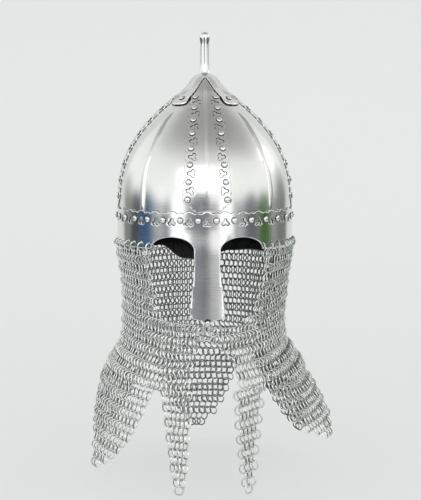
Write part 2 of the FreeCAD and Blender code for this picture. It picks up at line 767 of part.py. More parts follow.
def ridged(line):
    """The line with every other point moved out, square to the points beside it."""
    points = list(line)
    for at in range(1, len(line) - 1, 2):
        out, down = line[at + 1][0] - line[at - 1][0], line[at - 1][1] - line[at + 1][1]
        reach = size("mail_row_rise") / math.hypot(out, down)
        points[at] = (line[at][0] + reach * down, line[at][1] + reach * out)
    return points


curtain_halves = 2 * CURTAIN_RIDGES
curtain_line = ridged([mail_point(half_ridge / curtain_halves) for half_ridge in range(curtain_halves + 1)])
curtain_inside = []
for drop_share, radius_share in reversed(CURTAIN_SHARES):
    radius, height = mail_point(drop_share)
    curtain_inside.append((radius - size("mail_thickness"), height))
curtain_form = swept("curtain_form", curtain_line + curtain_inside, last=SOFT_FACETS, facets=SOFT_FACETS)
opening_side = [(half * size("face_width") / 2, -drop * size("face_drop")) for half, drop in FACE_SHARES]
opening = [(size("face_width") / 2, size("overrun"))] + opening_side
opening += [(-across, height) for across, height in reversed(opening)]
slit_shift = size("front_slit_shift")
slit_half = size("front_slit_width") / 2
slit_reach = size("curtain_drop") + size("overrun") - size("front_slit_top")
slit = []
for side, shares in ((1.0, SLIT_SHARES), (-1.0, reversed(SLIT_SHARES))):
    for half_share, drop_share in shares:
        middle = slit_shift * (1.0 + drop_share) / 2
        height = -size("front_slit_top") - drop_share * slit_reach
        slit.append((middle + side * half_share * slit_half, height))
curtain_tools = []
for outline in (opening, slit):
    flat = face_of([(across, 0, height) for across, height in outline])
    curtain_tools.append(flat.extrude(Vector(0, -2 * size("hem_radius"), 0)))
finished(cut("mail_curtain", curtain_form, feature("curtain_cutters", Part.makeCompound(curtain_tools))))

# The dags: seven pointed ends of the mail, each a cone's piece that leans out from the hem
slit_turn = math.asin(slit_shift / size("hem_radius")) / (2 * math.pi)
# each dag: its name, turn of its middle from the front, half of the turn it spans, its lean as a turn, its
# length, and how far its tip is turned aside
DAG_SHARES = [
    ("front_left_dag", -0.0555, 0.0255, 0.012, 1.02, 0.0075),
    ("front_right_dag", 0.0555, 0.0255, 0.012, 1.02, -0.007),
    ("left_shoulder_dag", -0.166, 0.0795, 0.05, 0.87, -0.004),
    ("right_shoulder_dag", 0.166, 0.0795, 0.1, 0.64, -0.0125),
    ("rear_left_dag", -0.333, 0.0795, 0.04, 0.9, 0.0),
    ("rear_right_dag", 0.333, 0.0795, 0.04, 0.87, 0.0),
    ("rear_dag", 0.5, 0.0795, 0.03, 0.95, 0.0),
]
# the half widths of a dag, on its left and right side, down its length from the root to the tip: each row is
# (length, left, right)
SLENDER_LEFT_SHARES = [(0.0, 1.0, 1.0), (0.5, 0.58, 0.7), (0.8, 0.32, 0.45), (1.0, 0.0, 0.0)]
SLENDER_RIGHT_SHARES = [(0.0, 1.0, 1.0), (0.5, 0.68, 0.48), (0.8, 0.4, 0.34), (1.0, 0.0, 0.0)]
LEFT_SHARES = [(0.0, 1.0, 1.0), (0.35, 0.65, 0.9), (0.6, 0.4, 0.8), (0.8, 0.22, 0.55), (1.0, 0.0, 0.0)]
RIGHT_SHARES = [(0.0, 1.0, 1.0), (0.35, 0.95, 0.75), (0.6, 0.85, 0.6), (0.8, 0.6, 0.4), (1.0, 0.0, 0.0)]
REAR_SHARES = [(0.0, 1.0, 1.0), (0.35, 0.8, 0.8), (0.6, 0.62, 0.62), (0.8, 0.4, 0.4), (1.0, 0.0, 0.0)]
SIDE_SHARES = {
    "front_left_dag": SLENDER_LEFT_SHARES,
    "front_right_dag": SLENDER_RIGHT_SHARES,
    "left_shoulder_dag": LEFT_SHARES,
    "right_shoulder_dag": RIGHT_SHARES,
}
dag_top = -size("curtain_drop") - size("mail_gap")
tip_half = size("dag_tip_width") / 2
for name, turn_share, half_share, lean_share, length_share, shift_share in DAG_SHARES:
    turn_share += slit_turn
    lean = 2 * math.pi * lean_share
    length = length_share * size("dag_length")
    drop, out = length * math.cos(lean), length * math.sin(lean)
    halves = 2 * round(DAG_RIDGES * length_share)
    line = []
    for half_ridge in range(halves + 1):
        share = half_ridge / halves
        line.append((size("hem_radius") + share * out, dag_top - share * drop))
    inside = [(radius - size("mail_thickness"), height) for radius, height in (line[-1], line[0])]
    first = math.floor((turn_share - half_share) * SOFT_FACETS) - 1
    last = math.ceil((turn_share + half_share) * SOFT_FACETS) + 1
    cone = swept(name + "_cone", ridged(line) + inside, first, last, facets=SOFT_FACETS)
    facing = outward(turn_share)
    sideways = Vector(0, 0, 1).cross(facing)
    root_middle = on_oval(size("hem_radius"), dag_top, turn_share).dot(sideways)
    sides = {-1: [], 1: []}
    for side, points in sides.items():
        root_end = on_oval(size("hem_radius"), dag_top, turn_share + side * half_share).dot(sideways)
        root_half = abs(root_end - root_middle)
        for share, left_share, right_share in SIDE_SHARES.get(name, REAR_SHARES):
            radius, height = size("hem_radius") + share * out, dag_top - share * drop
            middle = on_oval(radius, height, turn_share + share * shift_share).dot(sideways)
            width_share = right_share if side > 0 else left_share
            across = middle + side * (tip_half + width_share * (root_half - tip_half))
            points.append(sideways * across + Vector(0, 0, height))
    points = sides[1] + sides[-1][::-1]
    flat = feature(name + "_outline", Part.Face(Part.makePolygon(points + points[:1])))
    point = pushed(name + "_point", flat, facing, "2 * Sizes.hem_radius")
    finished(joined(name, "Part::MultiCommon", cone, point))
    axle = on_oval(size("hem_radius"), dag_top, turn_share)
    print(name, "hinge", [round(v, 3) for v in axle], "axis", [round(-v, 5) for v in sideways])

# The front ring, which hangs the middle of the mail's face edge on the hook
ring_bore = size("ring_diameter") / 2 - size("ring_wire")
ring_seat = math.sqrt((ring_bore - size("seat_gap")) ** 2 - hook_half**2)
ring_height = -size("nasal_drop") - size("hook_radius") - ring_seat
ring_faces = []
for radius in (size("ring_diameter") / 2, ring_bore):
    corner_radius = radius / math.cos(math.pi / RING_SIDES)
    corners = []
    for corner in range(RING_SIDES):
        around = 2 * math.pi * (corner + 0.5) / RING_SIDES
        corners.append((corner_radius * math.cos(around), 0, ring_height + corner_radius * math.sin(around)))
    ring_faces.append(face_of(corners))
ring_flat = feature("ring_flat", pierced_face(ring_faces[0].OuterWire, [ring_faces[1].OuterWire]))
ring_flat.Placement.Base = Vector(0, hook_middle.y - size("ring_wire") / 2, 0)
front_ring = pushed("front_ring", ring_flat, (0, 1, 0), "Sizes.ring_wire")
finished(front_ring)

# Every piece is tested, and then written
doc.recompute()
for thing in doc.Objects:
    if "Invalid" in thing.State or "Error" in thing.State:
        raise RuntimeError(f"{thing.Name} did not build")
os.makedirs("parts", exist_ok=True)
for thing in pieces:
    shape = thing.Shape
    if shape.isNull() or not shape.isValid() or not shape.Solids:
        raise RuntimeError(f"{thing.Label} has no sound solid")
    print(thing.Label, len(shape.Solids), "solids", len(shape.Faces), "faces", round(shape.Volume), "mm3")
    shape.exportStep(os.path.join("parts", thing.Label + ".step"))
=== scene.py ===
"""A riveted helmet with a pierced brow band and a mail aventail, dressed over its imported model. Metres."""
import random
from math import asin, atan2, ceil, cos, degrees, hypot, pi, radians, remainder, sin, sqrt, tau

import bmesh
import bpy
from mathutils import Matrix, Vector, noise


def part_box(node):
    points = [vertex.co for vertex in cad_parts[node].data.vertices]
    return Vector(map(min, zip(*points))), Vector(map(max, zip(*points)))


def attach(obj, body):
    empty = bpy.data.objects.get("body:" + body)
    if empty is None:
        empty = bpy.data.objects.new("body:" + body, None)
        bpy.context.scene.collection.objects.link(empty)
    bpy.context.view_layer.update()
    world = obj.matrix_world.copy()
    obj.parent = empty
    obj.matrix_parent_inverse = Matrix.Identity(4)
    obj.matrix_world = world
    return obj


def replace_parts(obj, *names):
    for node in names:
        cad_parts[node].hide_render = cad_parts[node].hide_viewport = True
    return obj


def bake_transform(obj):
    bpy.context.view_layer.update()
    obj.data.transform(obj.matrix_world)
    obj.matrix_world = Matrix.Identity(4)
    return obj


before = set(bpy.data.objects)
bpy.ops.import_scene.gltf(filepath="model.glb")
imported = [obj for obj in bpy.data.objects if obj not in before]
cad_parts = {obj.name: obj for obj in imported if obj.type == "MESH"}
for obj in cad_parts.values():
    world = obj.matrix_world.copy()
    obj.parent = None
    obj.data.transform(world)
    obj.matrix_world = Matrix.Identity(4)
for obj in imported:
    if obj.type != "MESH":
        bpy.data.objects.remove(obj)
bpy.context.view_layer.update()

# The view: a camera level with the dome's upper half, 1.5 m away and turned a little down, as the photograph
# was taken. It stands slightly to the left of the nasal.
VIEW_DISTANCE = 1.5
VIEW_HEIGHT = 0.137
VIEW_TURN = radians(-1.5)
VIEW_DROP = radians(5.6)
VIEW_ASIDE = radians(0.26)
FOCAL_PIXELS = 1286
FRAME_HEIGHT = 500

camera_data = bpy.data.cameras.new("camera")
camera_data.sensor_width = 36
camera_data.lens = camera_data.sensor_width * FOCAL_PIXELS / FRAME_HEIGHT
camera = bpy.data.objects.new("camera", camera_data)
camera.location = (VIEW_DISTANCE * sin(VIEW_TURN), -VIEW_DISTANCE * cos(VIEW_TURN), VIEW_HEIGHT)
camera.rotation_euler = (radians(90) - VIEW_DROP, 0, VIEW_TURN - VIEW_ASIDE)
bpy.context.collection.objects.link(camera)
bpy.context.scene.camera = camera
bpy.context.scene.view_settings.view_transform = "Standard"


# The floor and the backdrop are one pale sheet, curved up behind the helmet. Its back is clear, so that the
# helmet is seen from behind as well.
def sign(operation, own=0):
    """What one of Python's signs does with a value of a node, which goes into the own socket of a Math node."""
    return lambda value, other: value.finish.node("Math", {"operation": operation}, {own: value, 1 - own: other})


class Value:
    """One output of a material's node, which Python's signs add, take away, multiply, divide and raise."""

    __add__ = sign("ADD")
    __radd__ = sign("ADD", 1)
    __sub__ = sign("SUBTRACT")
    __rsub__ = sign("SUBTRACT", 1)
    __mul__ = sign("MULTIPLY")
    __rmul__ = sign("MULTIPLY", 1)
    __truediv__ = sign("DIVIDE")
    __rtruediv__ = sign("DIVIDE", 1)
    __pow__ = sign("POWER")

    def __init__(self, finish, socket):
        self.finish = finish
        self.socket = socket


class Finish:
    """A procedural finish: node() adds a node, and surface() sets the shader."""

    def __init__(self, name, tree=None):
        if tree is None:
            self.material = bpy.data.materials.new(name)
            self.material.use_nodes = True
            tree = self.material.node_tree
        self.tree = tree

    def feed(self, socket, value):
        if isinstance(value, Value):
            self.tree.links.new(value.socket, socket)
        else:
            socket.default_value = value

    def node(self, kind, settings=None, inputs=None, output=0):
        node = self.tree.nodes.new("ShaderNode" + kind)
        for name, setting in (settings or {}).items():
            if name == "stops":
                ramp = node.color_ramp
                while len(ramp.elements) < len(setting):
                    ramp.elements.new(0.5)
                for element, (place, color) in zip(ramp.elements, setting):
                    element.position = place
                    element.color = color if isinstance(color, tuple) else (color, color, color, 1)
            else:
                setattr(node, name, setting)
        for name, value in (inputs or {}).items():
            self.feed(node.inputs[name], value)
        return Value(self, node.outputs[output])

    def mixed(self, share, first, second):
        settings = {"data_type": "RGBA"}
        return self.node("Mix", settings, {0: share, 6: first, 7: second}, 2)

    def place(self):
        return self.node("TexCoord", output=3)

    def noise(self, place, scale, detail=2.0, distortion=0.0):
        inputs = {"Vector": place, "Scale": scale, "Detail": detail, "Distortion": distortion}
        return self.node("TexNoise", {}, inputs)

    def bump(self, height, strength, distance):
        return self.node("Bump", {}, {"Height": height, "Strength": strength, "Distance": distance})

    def surface(self, **inputs):
        shader = self.tree.nodes["Principled BSDF"]
        for name, value in inputs.items():
            self.feed(shader.inputs[name.replace("_", " ")], value)
        return self.material


def faced(sheet):
    """Turns the faces of a sheet outward."""
    bmesh.ops.recalc_face_normals(sheet, faces=sheet.faces)


# the places of outputs on the light path and geometry nodes
CAMERA_RAY = 0
GLOSSY_RAY = 3
CLEAR_RAY = 6
BACKFACING = 6
FLOOR_HEIGHT = -0.2725
FLOOR_WIDTH = 2.4
FLOOR_FRONT = -1.3
BACKDROP_DISTANCE = 1.3
BACKDROP_HEIGHT = 2.4
BACKDROP_BEND = 0.6
BEND_STEPS = 12
PAPER_TONES = ((0.84, 0.845, 0.85, 1), (0.86, 0.865, 0.87, 1))
PAPER_WHITE = (0.80, 0.81, 0.805, 1)
WHITE_SHARE = 0.7

sweep = bmesh.new()
line = [sweep.verts.new((-FLOOR_WIDTH / 2, FLOOR_FRONT, FLOOR_HEIGHT))]
for step in range(BEND_STEPS + 1):
    angle = radians(90) * step / BEND_STEPS
    reach = BACKDROP_DISTANCE - BACKDROP_BEND + BACKDROP_BEND * sin(angle)
    rise = FLOOR_HEIGHT + BACKDROP_BEND * (1 - cos(angle))
    line.append(sweep.verts.new((-FLOOR_WIDTH / 2, reach, rise)))
line.append(sweep.verts.new((-FLOOR_WIDTH / 2, BACKDROP_DISTANCE, BACKDROP_HEIGHT)))
edges = [sweep.edges.new(pair) for pair in zip(line, line[1:])]
wide = bmesh.ops.extrude_edge_only(sweep, edges=edges)
across = [item for item in wide["geom"] if isinstance(item, bmesh.types.BMVert)]
bmesh.ops.translate(sweep, vec=(FLOOR_WIDTH, 0, 0), verts=across)
faced(sweep)
if sum(face.normal.z for face in sweep.faces) < 0:
    bmesh.ops.reverse_faces(sweep, faces=sweep.faces)
floor_mesh = bpy.data.meshes.new("floor")
sweep.to_mesh(floor_mesh)
floor_mesh.shade_smooth()
floor = bpy.data.objects.new("floor", floor_mesh)
bpy.context.collection.objects.link(floor)
paper = Finish("pale paper")
speckle = paper.noise(paper.place(), 6.0)
tone = paper.mixed(speckle, *PAPER_TONES)
paper.surface(Base_Color=tone, Roughness=0.9, Specular_IOR_Level=0.1)
matt = Value(paper, paper.tree.nodes["Principled BSDF"].outputs[0])
white = paper.node("Emission", {}, {"Color": PAPER_WHITE, "Strength": 1.0})
# the camera, the polished steel and whatever is clear see the sheet as evenly white
seen = paper.node("LightPath", output=CAMERA_RAY) + paper.node("LightPath", output=GLOSSY_RAY)
seen += paper.node("LightPath", output=CLEAR_RAY)
cover = paper.node("MixShader", {}, {0: seen * WHITE_SHARE, 1: matt, 2: white})
clear = paper.node("BsdfTransparent")
behind = paper.node("NewGeometry", output=BACKFACING)
one_sided = paper.node("MixShader", {}, {0: behind, 1: cover, 2: clear})
paper.feed(paper.tree.nodes["Material Output"].inputs["Surface"], one_sided)
floor_mesh.materials.append(paper.material)

# The light: a pale room, white from the horizon to half way up and greyer overhead, with darker, coloured and
# white places low round it, and two soft panels.
# the room's tone by its height, from 0 straight down to 1 straight up, and how strong its dark patches are
ROOM_TONES = [(0.0, 0.30), (0.43, 0.33), (0.476, 0.36), (0.499, 0.90), (0.55, 1.00), (0.65, 0.97)]
ROOM_TONES += [(0.74, 0.91), (0.80, 0.86), (0.84, 0.78), (0.905, 0.62), (0.95, 0.43), (1.0, 0.36)]
LOW_TONES = [(0.40, 0.2), (0.48, 1.0), (0.505, 0.4), (0.54, 0.0)]
PATCH_COLOR = (0.16, 0.18, 0.20, 1)
PATCH_STRENGTH = 0.5
ROOM_STRENGTH = 1.15
# what the camera itself sees past the sheet
PLAIN_WALL = (0.69, 0.70, 0.695, 1)
# each place: (colour, turn and height in degrees seen from the helmet, half its spread in degrees, strength)
ROOM_PLACES = [
    ((0.16, 0.18, 0.20, 1), -11, -5, 16, 0.88),
    ((0.07, 0.075, 0.07, 1), -1, 1, 8, 0.70),
    ((1.50, 1.52, 1.55, 1), -40, -4, 13, 0.92),
    ((1.50, 1.52, 1.55, 1), 28, -5, 13, 0.92),
    ((0.12, 0.14, 0.16, 1), -62, -9, 10, 0.60),
    ((1.10, 1.12, 1.15, 1), -66, 4, 9, 0.90),
    ((0.06, 0.07, 0.08, 1), 66, -5, 13, 0.85),
    ((0.01, 0.07, 0.17, 1), -91, -9, 18, 1.0),
    ((0.02, 0.03, 0.04, 1), -110, -6, 12, 0.90),
    ((0.14, 0.15, 0.13, 1), 124, -4, 20, 0.85),
    ((0.18, 0.19, 0.17, 1), -130, -4, 16, 0.60),
    ((0.02, 0.10, 0.0, 1), 88, -8, 15, 1.0),
    ((0.30, 0.30, 0.28, 1), 100, 64, 34, 0.60),
    ((0.34, 0.34, 0.32, 1), -100, 64, 26, 0.40),
]
# the share of its spread over which a place is full
PLACE_CORE = 0.45
# each soft lamp: its name, where it is, the point that it faces, its width, height and watts
LAMPS = [
    ("front_panel", (-0.2, -2.7, 1.25), (0, 0, 0.02), 4.2, 1.5, 16),
    ("right_panel", (1.8, 0.66, 0.95), (0, 0, 0.05), 0.40, 0.55, 1.5),
]
world = bpy.data.worlds.new("room")
world.use_nodes = True
bpy.context.scene.world = world
room = Finish("room", world.node_tree)
direction = room.node("TexCoord", output=0)
height = room.node("SeparateXYZ", {}, {0: direction}, 2)
walls = room.node("ValToRGB", {"stops": ROOM_TONES}, {0: height * 0.5 + 0.5})
around = room.node("Mapping", {}, {"Vector": direction, "Scale": (3.2, 3.2, 1.1)})
patches = room.noise(around, 1.0)
dark_patches = room.node("ValToRGB", {"stops": [(0.45, 0.0), (0.58, 1.0)]}, {0: patches})
low = room.node("ValToRGB", {"stops": LOW_TONES}, {0: height * 0.5 + 0.5})
walls = room.mixed(dark_patches * low * PATCH_STRENGTH, walls, PATCH_COLOR)
for color, side_turn, rise, spread, strength in ROOM_PLACES:
    side_turn, rise, spread = (radians(value) for value in (side_turn, rise, spread))
    toward = (sin(side_turn) * cos(rise), -cos(side_turn) * cos(rise), sin(rise))
    facing = room.node("VectorMath", {"operation": "DOT_PRODUCT"}, {0: direction, 1: toward}, 1)
    share = (facing - cos(spread)) / (cos(spread * PLACE_CORE) - cos(spread))
    share = room.node("Clamp", {}, {0: share}) * strength
    walls = room.mixed(share, walls, color)
walls = room.mixed(room.node("LightPath", output=CAMERA_RAY), walls, PLAIN_WALL)
background = room.tree.nodes["Background"]
room.feed(background.inputs["Color"], walls)
room.feed(background.inputs["Strength"], ROOM_STRENGTH)
for name, place, target, width, tall, watts in LAMPS:
    data = bpy.data.lights.new(name, "AREA")
    data.shape = "RECTANGLE"
    data.size = width
    data.size_y = tall
    data.energy = watts
    panel = bpy.data.objects.new(name, data)
    panel.location = place
    panel.rotation_euler = (Vector(target) - Vector(place)).to_track_quat("-Z", "Y").to_euler()
    bpy.context.collection.objects.link(panel)

# The skull: four quarter plates of steel sheet, raised to a dome over a stake and drawn up to a point. Each
# has a rounded rib hammered up its middle, and their edges meet under the straps.
PLATE_RADIUS = 0.1002
STRETCH = 226 / 204
WALL_HEIGHT = 0.045
CROWN_HEIGHT = 0.190
DOME_POWER = 2.4
PLATE_THICKNESS = 0.0016
PLATE_COLUMNS = 120
PLATE_ROWS = 64
CROWN_HOLE = 0.0050
RIB_FOOT = 0.0412
RIB_TOP = 0.152
RIB_WIDTH = 0.0066
RIB_RISE = 0.0019
RIB_FOOT_FADE = 0.004
RIB_TOP_FADE = 0.016
RIB_ROUNDING = 0.8
BROW_CUT_HEIGHT = 0.017
BROW_CUT_HALF = 0.064
BAND_HIDES = 0.031
# the dark tone painted as shade round the rivets' feet and in the hook's mouth
PAINTED_SHADE_COLOR = (0.045, 0.045, 0.048, 1)
STEPS = 1400
PLATES = ("front_right_plate", "rear_right_plate", "rear_left_plate", "front_left_plate")

# the meridian as (length from the rim, radius, height, outward radial, outward up)
meridian = []
run = 0.0
for step in range(STEPS + 1):
    up = CROWN_HEIGHT * step / STEPS
    rise = max(0.0, (up - WALL_HEIGHT) / (CROWN_HEIGHT - WALL_HEIGHT))
    radius = PLATE_RADIUS * (1 - rise**DOME_POWER)
    slope = -PLATE_RADIUS * DOME_POWER * rise ** (DOME_POWER - 1) / (CROWN_HEIGHT - WALL_HEIGHT)
    if meridian:
        run += hypot(up - meridian[-1][2], radius - meridian[-1][1])
    tilt = hypot(1, slope)
    meridian.append((run, radius, up, 1 / tilt, -slope / tilt))


def last_step(holds):
    """The last step up the meridian at which a thing holds, where it holds from the rim up to there."""
    low, high = 0, STEPS
    while high - low > 1:
        middle = (low + high) // 2
        low, high = (middle, high) if holds(meridian[middle]) else (low, middle)
    return low


def shell_point(turn, length, out=0.0):
    """A point of the skull: a turn from the front in radians, a length up from the rim and a distance out."""
    low = last_step(lambda row: row[0] <= length)
    under, over = meridian[low : low + 2]
    share = (length - under[0]) / (over[0] - under[0])
    radius, up, radial, rising = (a + share * (b - a) for a, b in zip(under[1:], over[1:]))
    radius += out * radial
    return Vector((radius * sin(turn), -STRETCH * radius * cos(turn), up + out * rising))


def length_at(column, value):
    """The length up the meridian where its radius (column 1) or height (column 2) has this value."""
    for row in meridian:
        if (row[1] <= value) if column == 1 else (row[2] >= value):
            return row[0]
    return meridian[-1][0]


def turned(points, steps, angle=tau, darks=None):
    """A sheet turned round Z from a profile, each of whose points may say how dark its painted shade makes it.
    """
    sheet = bmesh.new()
    grime = sheet.verts.layers.float.new("grime") if darks else None
    profile = [sheet.verts.new(point) for point in points]
    for vert, dark in zip(profile, darks or ()):
        vert[grime] = dark
    edges = [sheet.edges.new(pair) for pair in zip(profile, profile[1:])]
    lathe = {"cent": (0, 0, 0), "axis": (0, 0, 1), "angle": angle, "steps": steps}
    bmesh.ops.spin(sheet, geom=profile + edges, use_merge=angle == tau, **lathe)
    bmesh.ops.remove_doubles(sheet, verts=sheet.verts, dist=1e-6)
    return sheet


def finished(name, mesh_source, material, body="helmet", sharp=35):
    """Turns a bmesh into a piece of the helmet with smooth faces, and edges that are sharp past an angle."""
    mesh = bpy.data.meshes.new(name)
    mesh_source.to_mesh(mesh)
    mesh_source.free()
    mesh.shade_smooth()
    mesh.set_sharp_from_angle(angle=radians(sharp))
    mesh.materials.append(material)
    piece = bpy.data.objects.new(name, mesh)
    bpy.context.collection.objects.link(piece)
    if body:
        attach(piece, body)
    return piece


def steel(name, light, dark, roughness, grain):
    """Bare steel: cloudy from polishing, with fine level brush marks and a few deeper scratches."""
    finish = Finish(name)
    place = finish.place()
    clouds = finish.noise(place, 34.0, 4.0)
    stretched = finish.node("Mapping", {}, {"Vector": place, "Scale": (40.0, 40.0, 900.0)})
    brushing = finish.noise(stretched, 1.0, 3.0)
    slant = {"Vector": place, "Rotation": (0.4, 0.3, 0.2), "Scale": (25.0, 700.0, 60.0)}
    slanted = finish.node("Mapping", {}, slant)
    scratches = finish.noise(slanted, 1.0, 1.0)
    marks = finish.node("ValToRGB", {"stops": [(0.66, 0.0), (0.72, 1.0)]}, {0: scratches})
    # painted shade: marked points of a sheet (a rivet head's foot, the hook's mouth) go over to a dark tone
    grime = finish.node("Attribute", {"attribute_name": "grime"}, output=2)
    color = finish.mixed(grime, finish.mixed(clouds, dark, light), PAINTED_SHADE_COLOR)
    rough = clouds * 0.10 + brushing * 0.06 + marks * 0.05 + (roughness - 0.08) + grime * 0.3
    relief = brushing * grain + marks * (grain * 0.6)
    bump = finish.bump(relief, 0.5, 0.0002)
    return finish.surface(Base_Color=color, Metallic=1.0, Roughness=rough, Normal=bump)


plate_steel = steel("plate steel", (0.80, 0.81, 0.785, 1), (0.73, 0.74, 0.715, 1), 0.21, 0.25)
low_lengths = [0.0, BROW_CUT_HEIGHT / 2, BROW_CUT_HEIGHT, BAND_HIDES]
plate_rise = length_at(1, CROWN_HOLE) - WALL_HEIGHT
plate_lengths = low_lengths + [WALL_HEIGHT + plate_rise * step / PLATE_ROWS for step in range(PLATE_ROWS + 1)]
rib_low, rib_high = length_at(2, RIB_FOOT), length_at(2, RIB_TOP)
for quarter, name in enumerate(PLATES):
    turn = radians(90)
    # until it is shaped, a point's height is its length up the meridian
    plate = turned([(0, -1, length) for length in plate_lengths], PLATE_COLUMNS, turn)
    bmesh.ops.rotate(plate, verts=plate.verts, cent=(0, 0, 0), matrix=Matrix.Rotation(quarter * turn, 3, "Z"))
    for vert in plate.verts:
        angle = atan2(vert.co.x, -vert.co.y)
        length = vert.co.z
        around = remainder(angle - (quarter + 0.5) * turn, tau)
        here = shell_point(angle, length)
        across = abs(hypot(here.x, here.y) * sin(around)) / (RIB_WIDTH / 2)
        ends = min(1.0, max(0.0, (rib_high - length) / RIB_TOP_FADE))
        ends *= min(1.0, max(0.0, (length - rib_low) / RIB_FOOT_FADE))
        bulge = RIB_RISE * ends * max(0.0, cos(min(1.0, across) * pi / 2)) ** RIB_ROUNDING
        vert.co = shell_point(angle, length, bulge)
    if name.startswith("front"):
        cut = []
        for face in plate.faces:
            middle = face.calc_center_median()
            if middle.z < BROW_CUT_HEIGHT and abs(middle.x) < BROW_CUT_HALF:
                cut.append(face)
        bmesh.ops.delete(plate, geom=cut, context="FACES")
    faced(plate)
    if plate.faces[0].normal.dot(plate.faces[0].calc_center_median()) < 0:
        bmesh.ops.reverse_faces(plate, faces=plate.faces)
    piece = finished(name + "_sheet", plate, plate_steel)
    wall = piece.modifiers.new("wall", "SOLIDIFY")
    wall.thickness = PLATE_THICKNESS
    wall.offset = -1
    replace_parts(piece, name)

# The four straps: strips of sheet cut with a scalloped edge and a pierced trefoil between each two rivets,
# bent to a soft keel down the middle and riveted over the seams. Their tapered feet stop at the brow band.
STRAP_SEAT = 0.0002
STRAP_THICKNESS = 0.0012
FIRST_RIVET = 0.055
RIVET_PITCH = 0.019
RIVETS = 8
ROW_LOW = 0.0214
ROW_HIGH = 0.0112
STRAP_MARGIN = 0.0055
STRAP_CUSP = 0.0012
STRAP_BOW = 0.0016
STRAP_END = 0.0085
STRAP_TREFOIL = 0.0051
TREFOIL_INSET = 0.0025
# the painted shade line round each sheet's edges: a dark film under it, its width in the holes, its thickness
# and its seat
SEAT_LINE_WIDTH = 0.0007
SEAT_LINE_THICKNESS = 0.00008
SEAT_LINE_LOW = 0.00006
KEEL_RISE = 0.0009
KEEL_HALF = 0.0030
KEEL_FADE = 0.05
# where across half of the keel the sheet is creased, as shares
KEEL_CREASES = (0.001, 0.3, 0.62, 1.0)
# the foot's corners, as (length, half width): the first from the rim, the second from the first rivet's place
STRAP_FOOT = ((0.0412, 0.0128), (-0.0045, 0.0022))
# how far the straps' tops flare up to the spike, and the radii over which they do
CROWN_FLARE = 0.0055
FLARE_FOOT = 0.028
FLARE_TOP = 0.0095
STRAPS = ("front_strap", "right_strap", "rear_strap", "left_strap")
# the tones of the painted shade lines
EDGE_SHADE_TONES = ((0.010, 0.010, 0.011, 1), (0.060, 0.060, 0.062, 1))


def smoothstep(low, high, value):
    """Rises smoothly from 0 at low to 1 at high."""
    share = min(1.0, max(0.0, (value - low) / (high - low)))
    return share * share * (3 - 2 * share)


def flared(spot):
    """The spot raised as the straps and the cap draw up together to the spike's foot."""
    radius = hypot(spot.x, spot.y / STRETCH)
    return spot + Vector((0, 0, CROWN_FLARE * smoothstep(FLARE_FOOT, FLARE_TOP, radius)))


def trefoil(across, up, size, facing, top_share=1.0, lobe_points=9):
    """The outline of three round lobes about a point, the first of them facing a direction in degrees."""
    points = []
    for lobe in range(3):
        toward = radians(facing + 120 * lobe)
        share = top_share if lobe == 0 else 1.0
        reach, bow = size * 0.55, size * 0.46 * share
        for step in range(lobe_points):
            angle = toward + radians(-118 + 236 * step / (lobe_points - 1))
            x = across + reach * cos(toward) + bow * cos(angle)
            y = up + reach * sin(toward) + bow * sin(angle)
            points.append((x, y))
    return points


def scallops(places, rise, cusp):
    """Points of an edge that bows out between each two of its places and is drawn in at each place."""
    points = []
    for (low_along, low_off), (high_along, high_off) in zip(places, places[1:]):
        for step in range(6):
            share = step / 6
            bow = rise * (sin(pi * share) ** 0.7) - cusp
            off = low_off + share * (high_off - low_off)
            points.append((low_along + share * (high_along - low_along), off + bow))
    points.append((places[-1][0], places[-1][1] - cusp))
    return points


def pierced_blank(name, outlines, thickness, cells, edge_round=0.0002, creases=()):
    """A flat sheet in the XY plane, cut by outlines and holes, with its faces parted into cells."""
    curve = bpy.data.curves.new(name, "CURVE")
    curve.dimensions = "2D"
    curve.fill_mode = "BOTH"
    curve.extrude = thickness / 2 - edge_round
    curve.bevel_depth = edge_round
    curve.bevel_resolution = 1
    curve.offset = -edge_round
    for outline in outlines:
        spline = curve.splines.new("POLY")
        spline.points.add(len(outline) - 1)
        for point, (x, y) in zip(spline.points, outline):
            point.co = (x, y, 0, 1)
        spline.use_cyclic_u = True
    holder = bpy.data.objects.new(name, curve)
    bpy.context.collection.objects.link(holder)
    mesh = bpy.data.meshes.new_from_object(holder.evaluated_get(bpy.context.evaluated_depsgraph_get()))
    bpy.data.objects.remove(holder)
    blank = bmesh.new()
    blank.from_mesh(mesh)
    bpy.data.meshes.remove(mesh)
    bmesh.ops.remove_doubles(blank, verts=blank.verts, dist=1e-6)
    bmesh.ops.translate(blank, vec=(0, 0, thickness / 2), verts=blank.verts)
    for axis in (0, 1):
        low = min(vert.co[axis] for vert in blank.verts)
        high = max(vert.co[axis] for vert in blank.verts)
        count = max(1, round((high - low) / cells[axis]))
        cuts = [low + (high - low) * step / count for step in range(1, count)]
        if axis == 0:
            cuts += creases
        for place in cuts:
            facing = Vector((1 - axis, axis, 0))
            cut = {"plane_co": facing * place, "plane_no": facing, "dist": 1e-7}
            bmesh.ops.bisect_plane(blank, geom=blank.verts[:] + blank.edges[:] + blank.faces[:], **cut)
    bmesh.ops.triangulate(blank, faces=[face for face in blank.faces if len(face.verts) > 4])
    return blank


def grown(outline, reach):
    """The outline moved out by a reach, or drawn in where the reach is negative."""
    ends = list(zip(outline, outline[1:] + outline[:1]))
    turning = sum(a[0] * b[1] - b[0] * a[1] for a, b in ends)
    side = 1 if turning > 0 else -1
    moved = []
    for (before, here), (_, after) in zip(ends[-1:] + ends[:-1], ends):
        first = Vector((here[1] - before[1], before[0] - here[0])).normalized()
        second = Vector((after[1] - here[1], here[0] - after[0])).normalized()
        away = (first + second).normalized() * side * reach
        moved.append((here[0] + away.x, here[1] + away.y))
    return moved


def seat_line(name, outlines, cells, outer=0.0004):
    """A dark line of painted shade that shows all round a sheet's edges: a film under the sheet."""
    rims = [grown(outlines[0], outer)] + [grown(hole, -SEAT_LINE_WIDTH) for hole in outlines[1:]]
    return pierced_blank(name, rims, SEAT_LINE_THICKNESS, cells, 0.0)


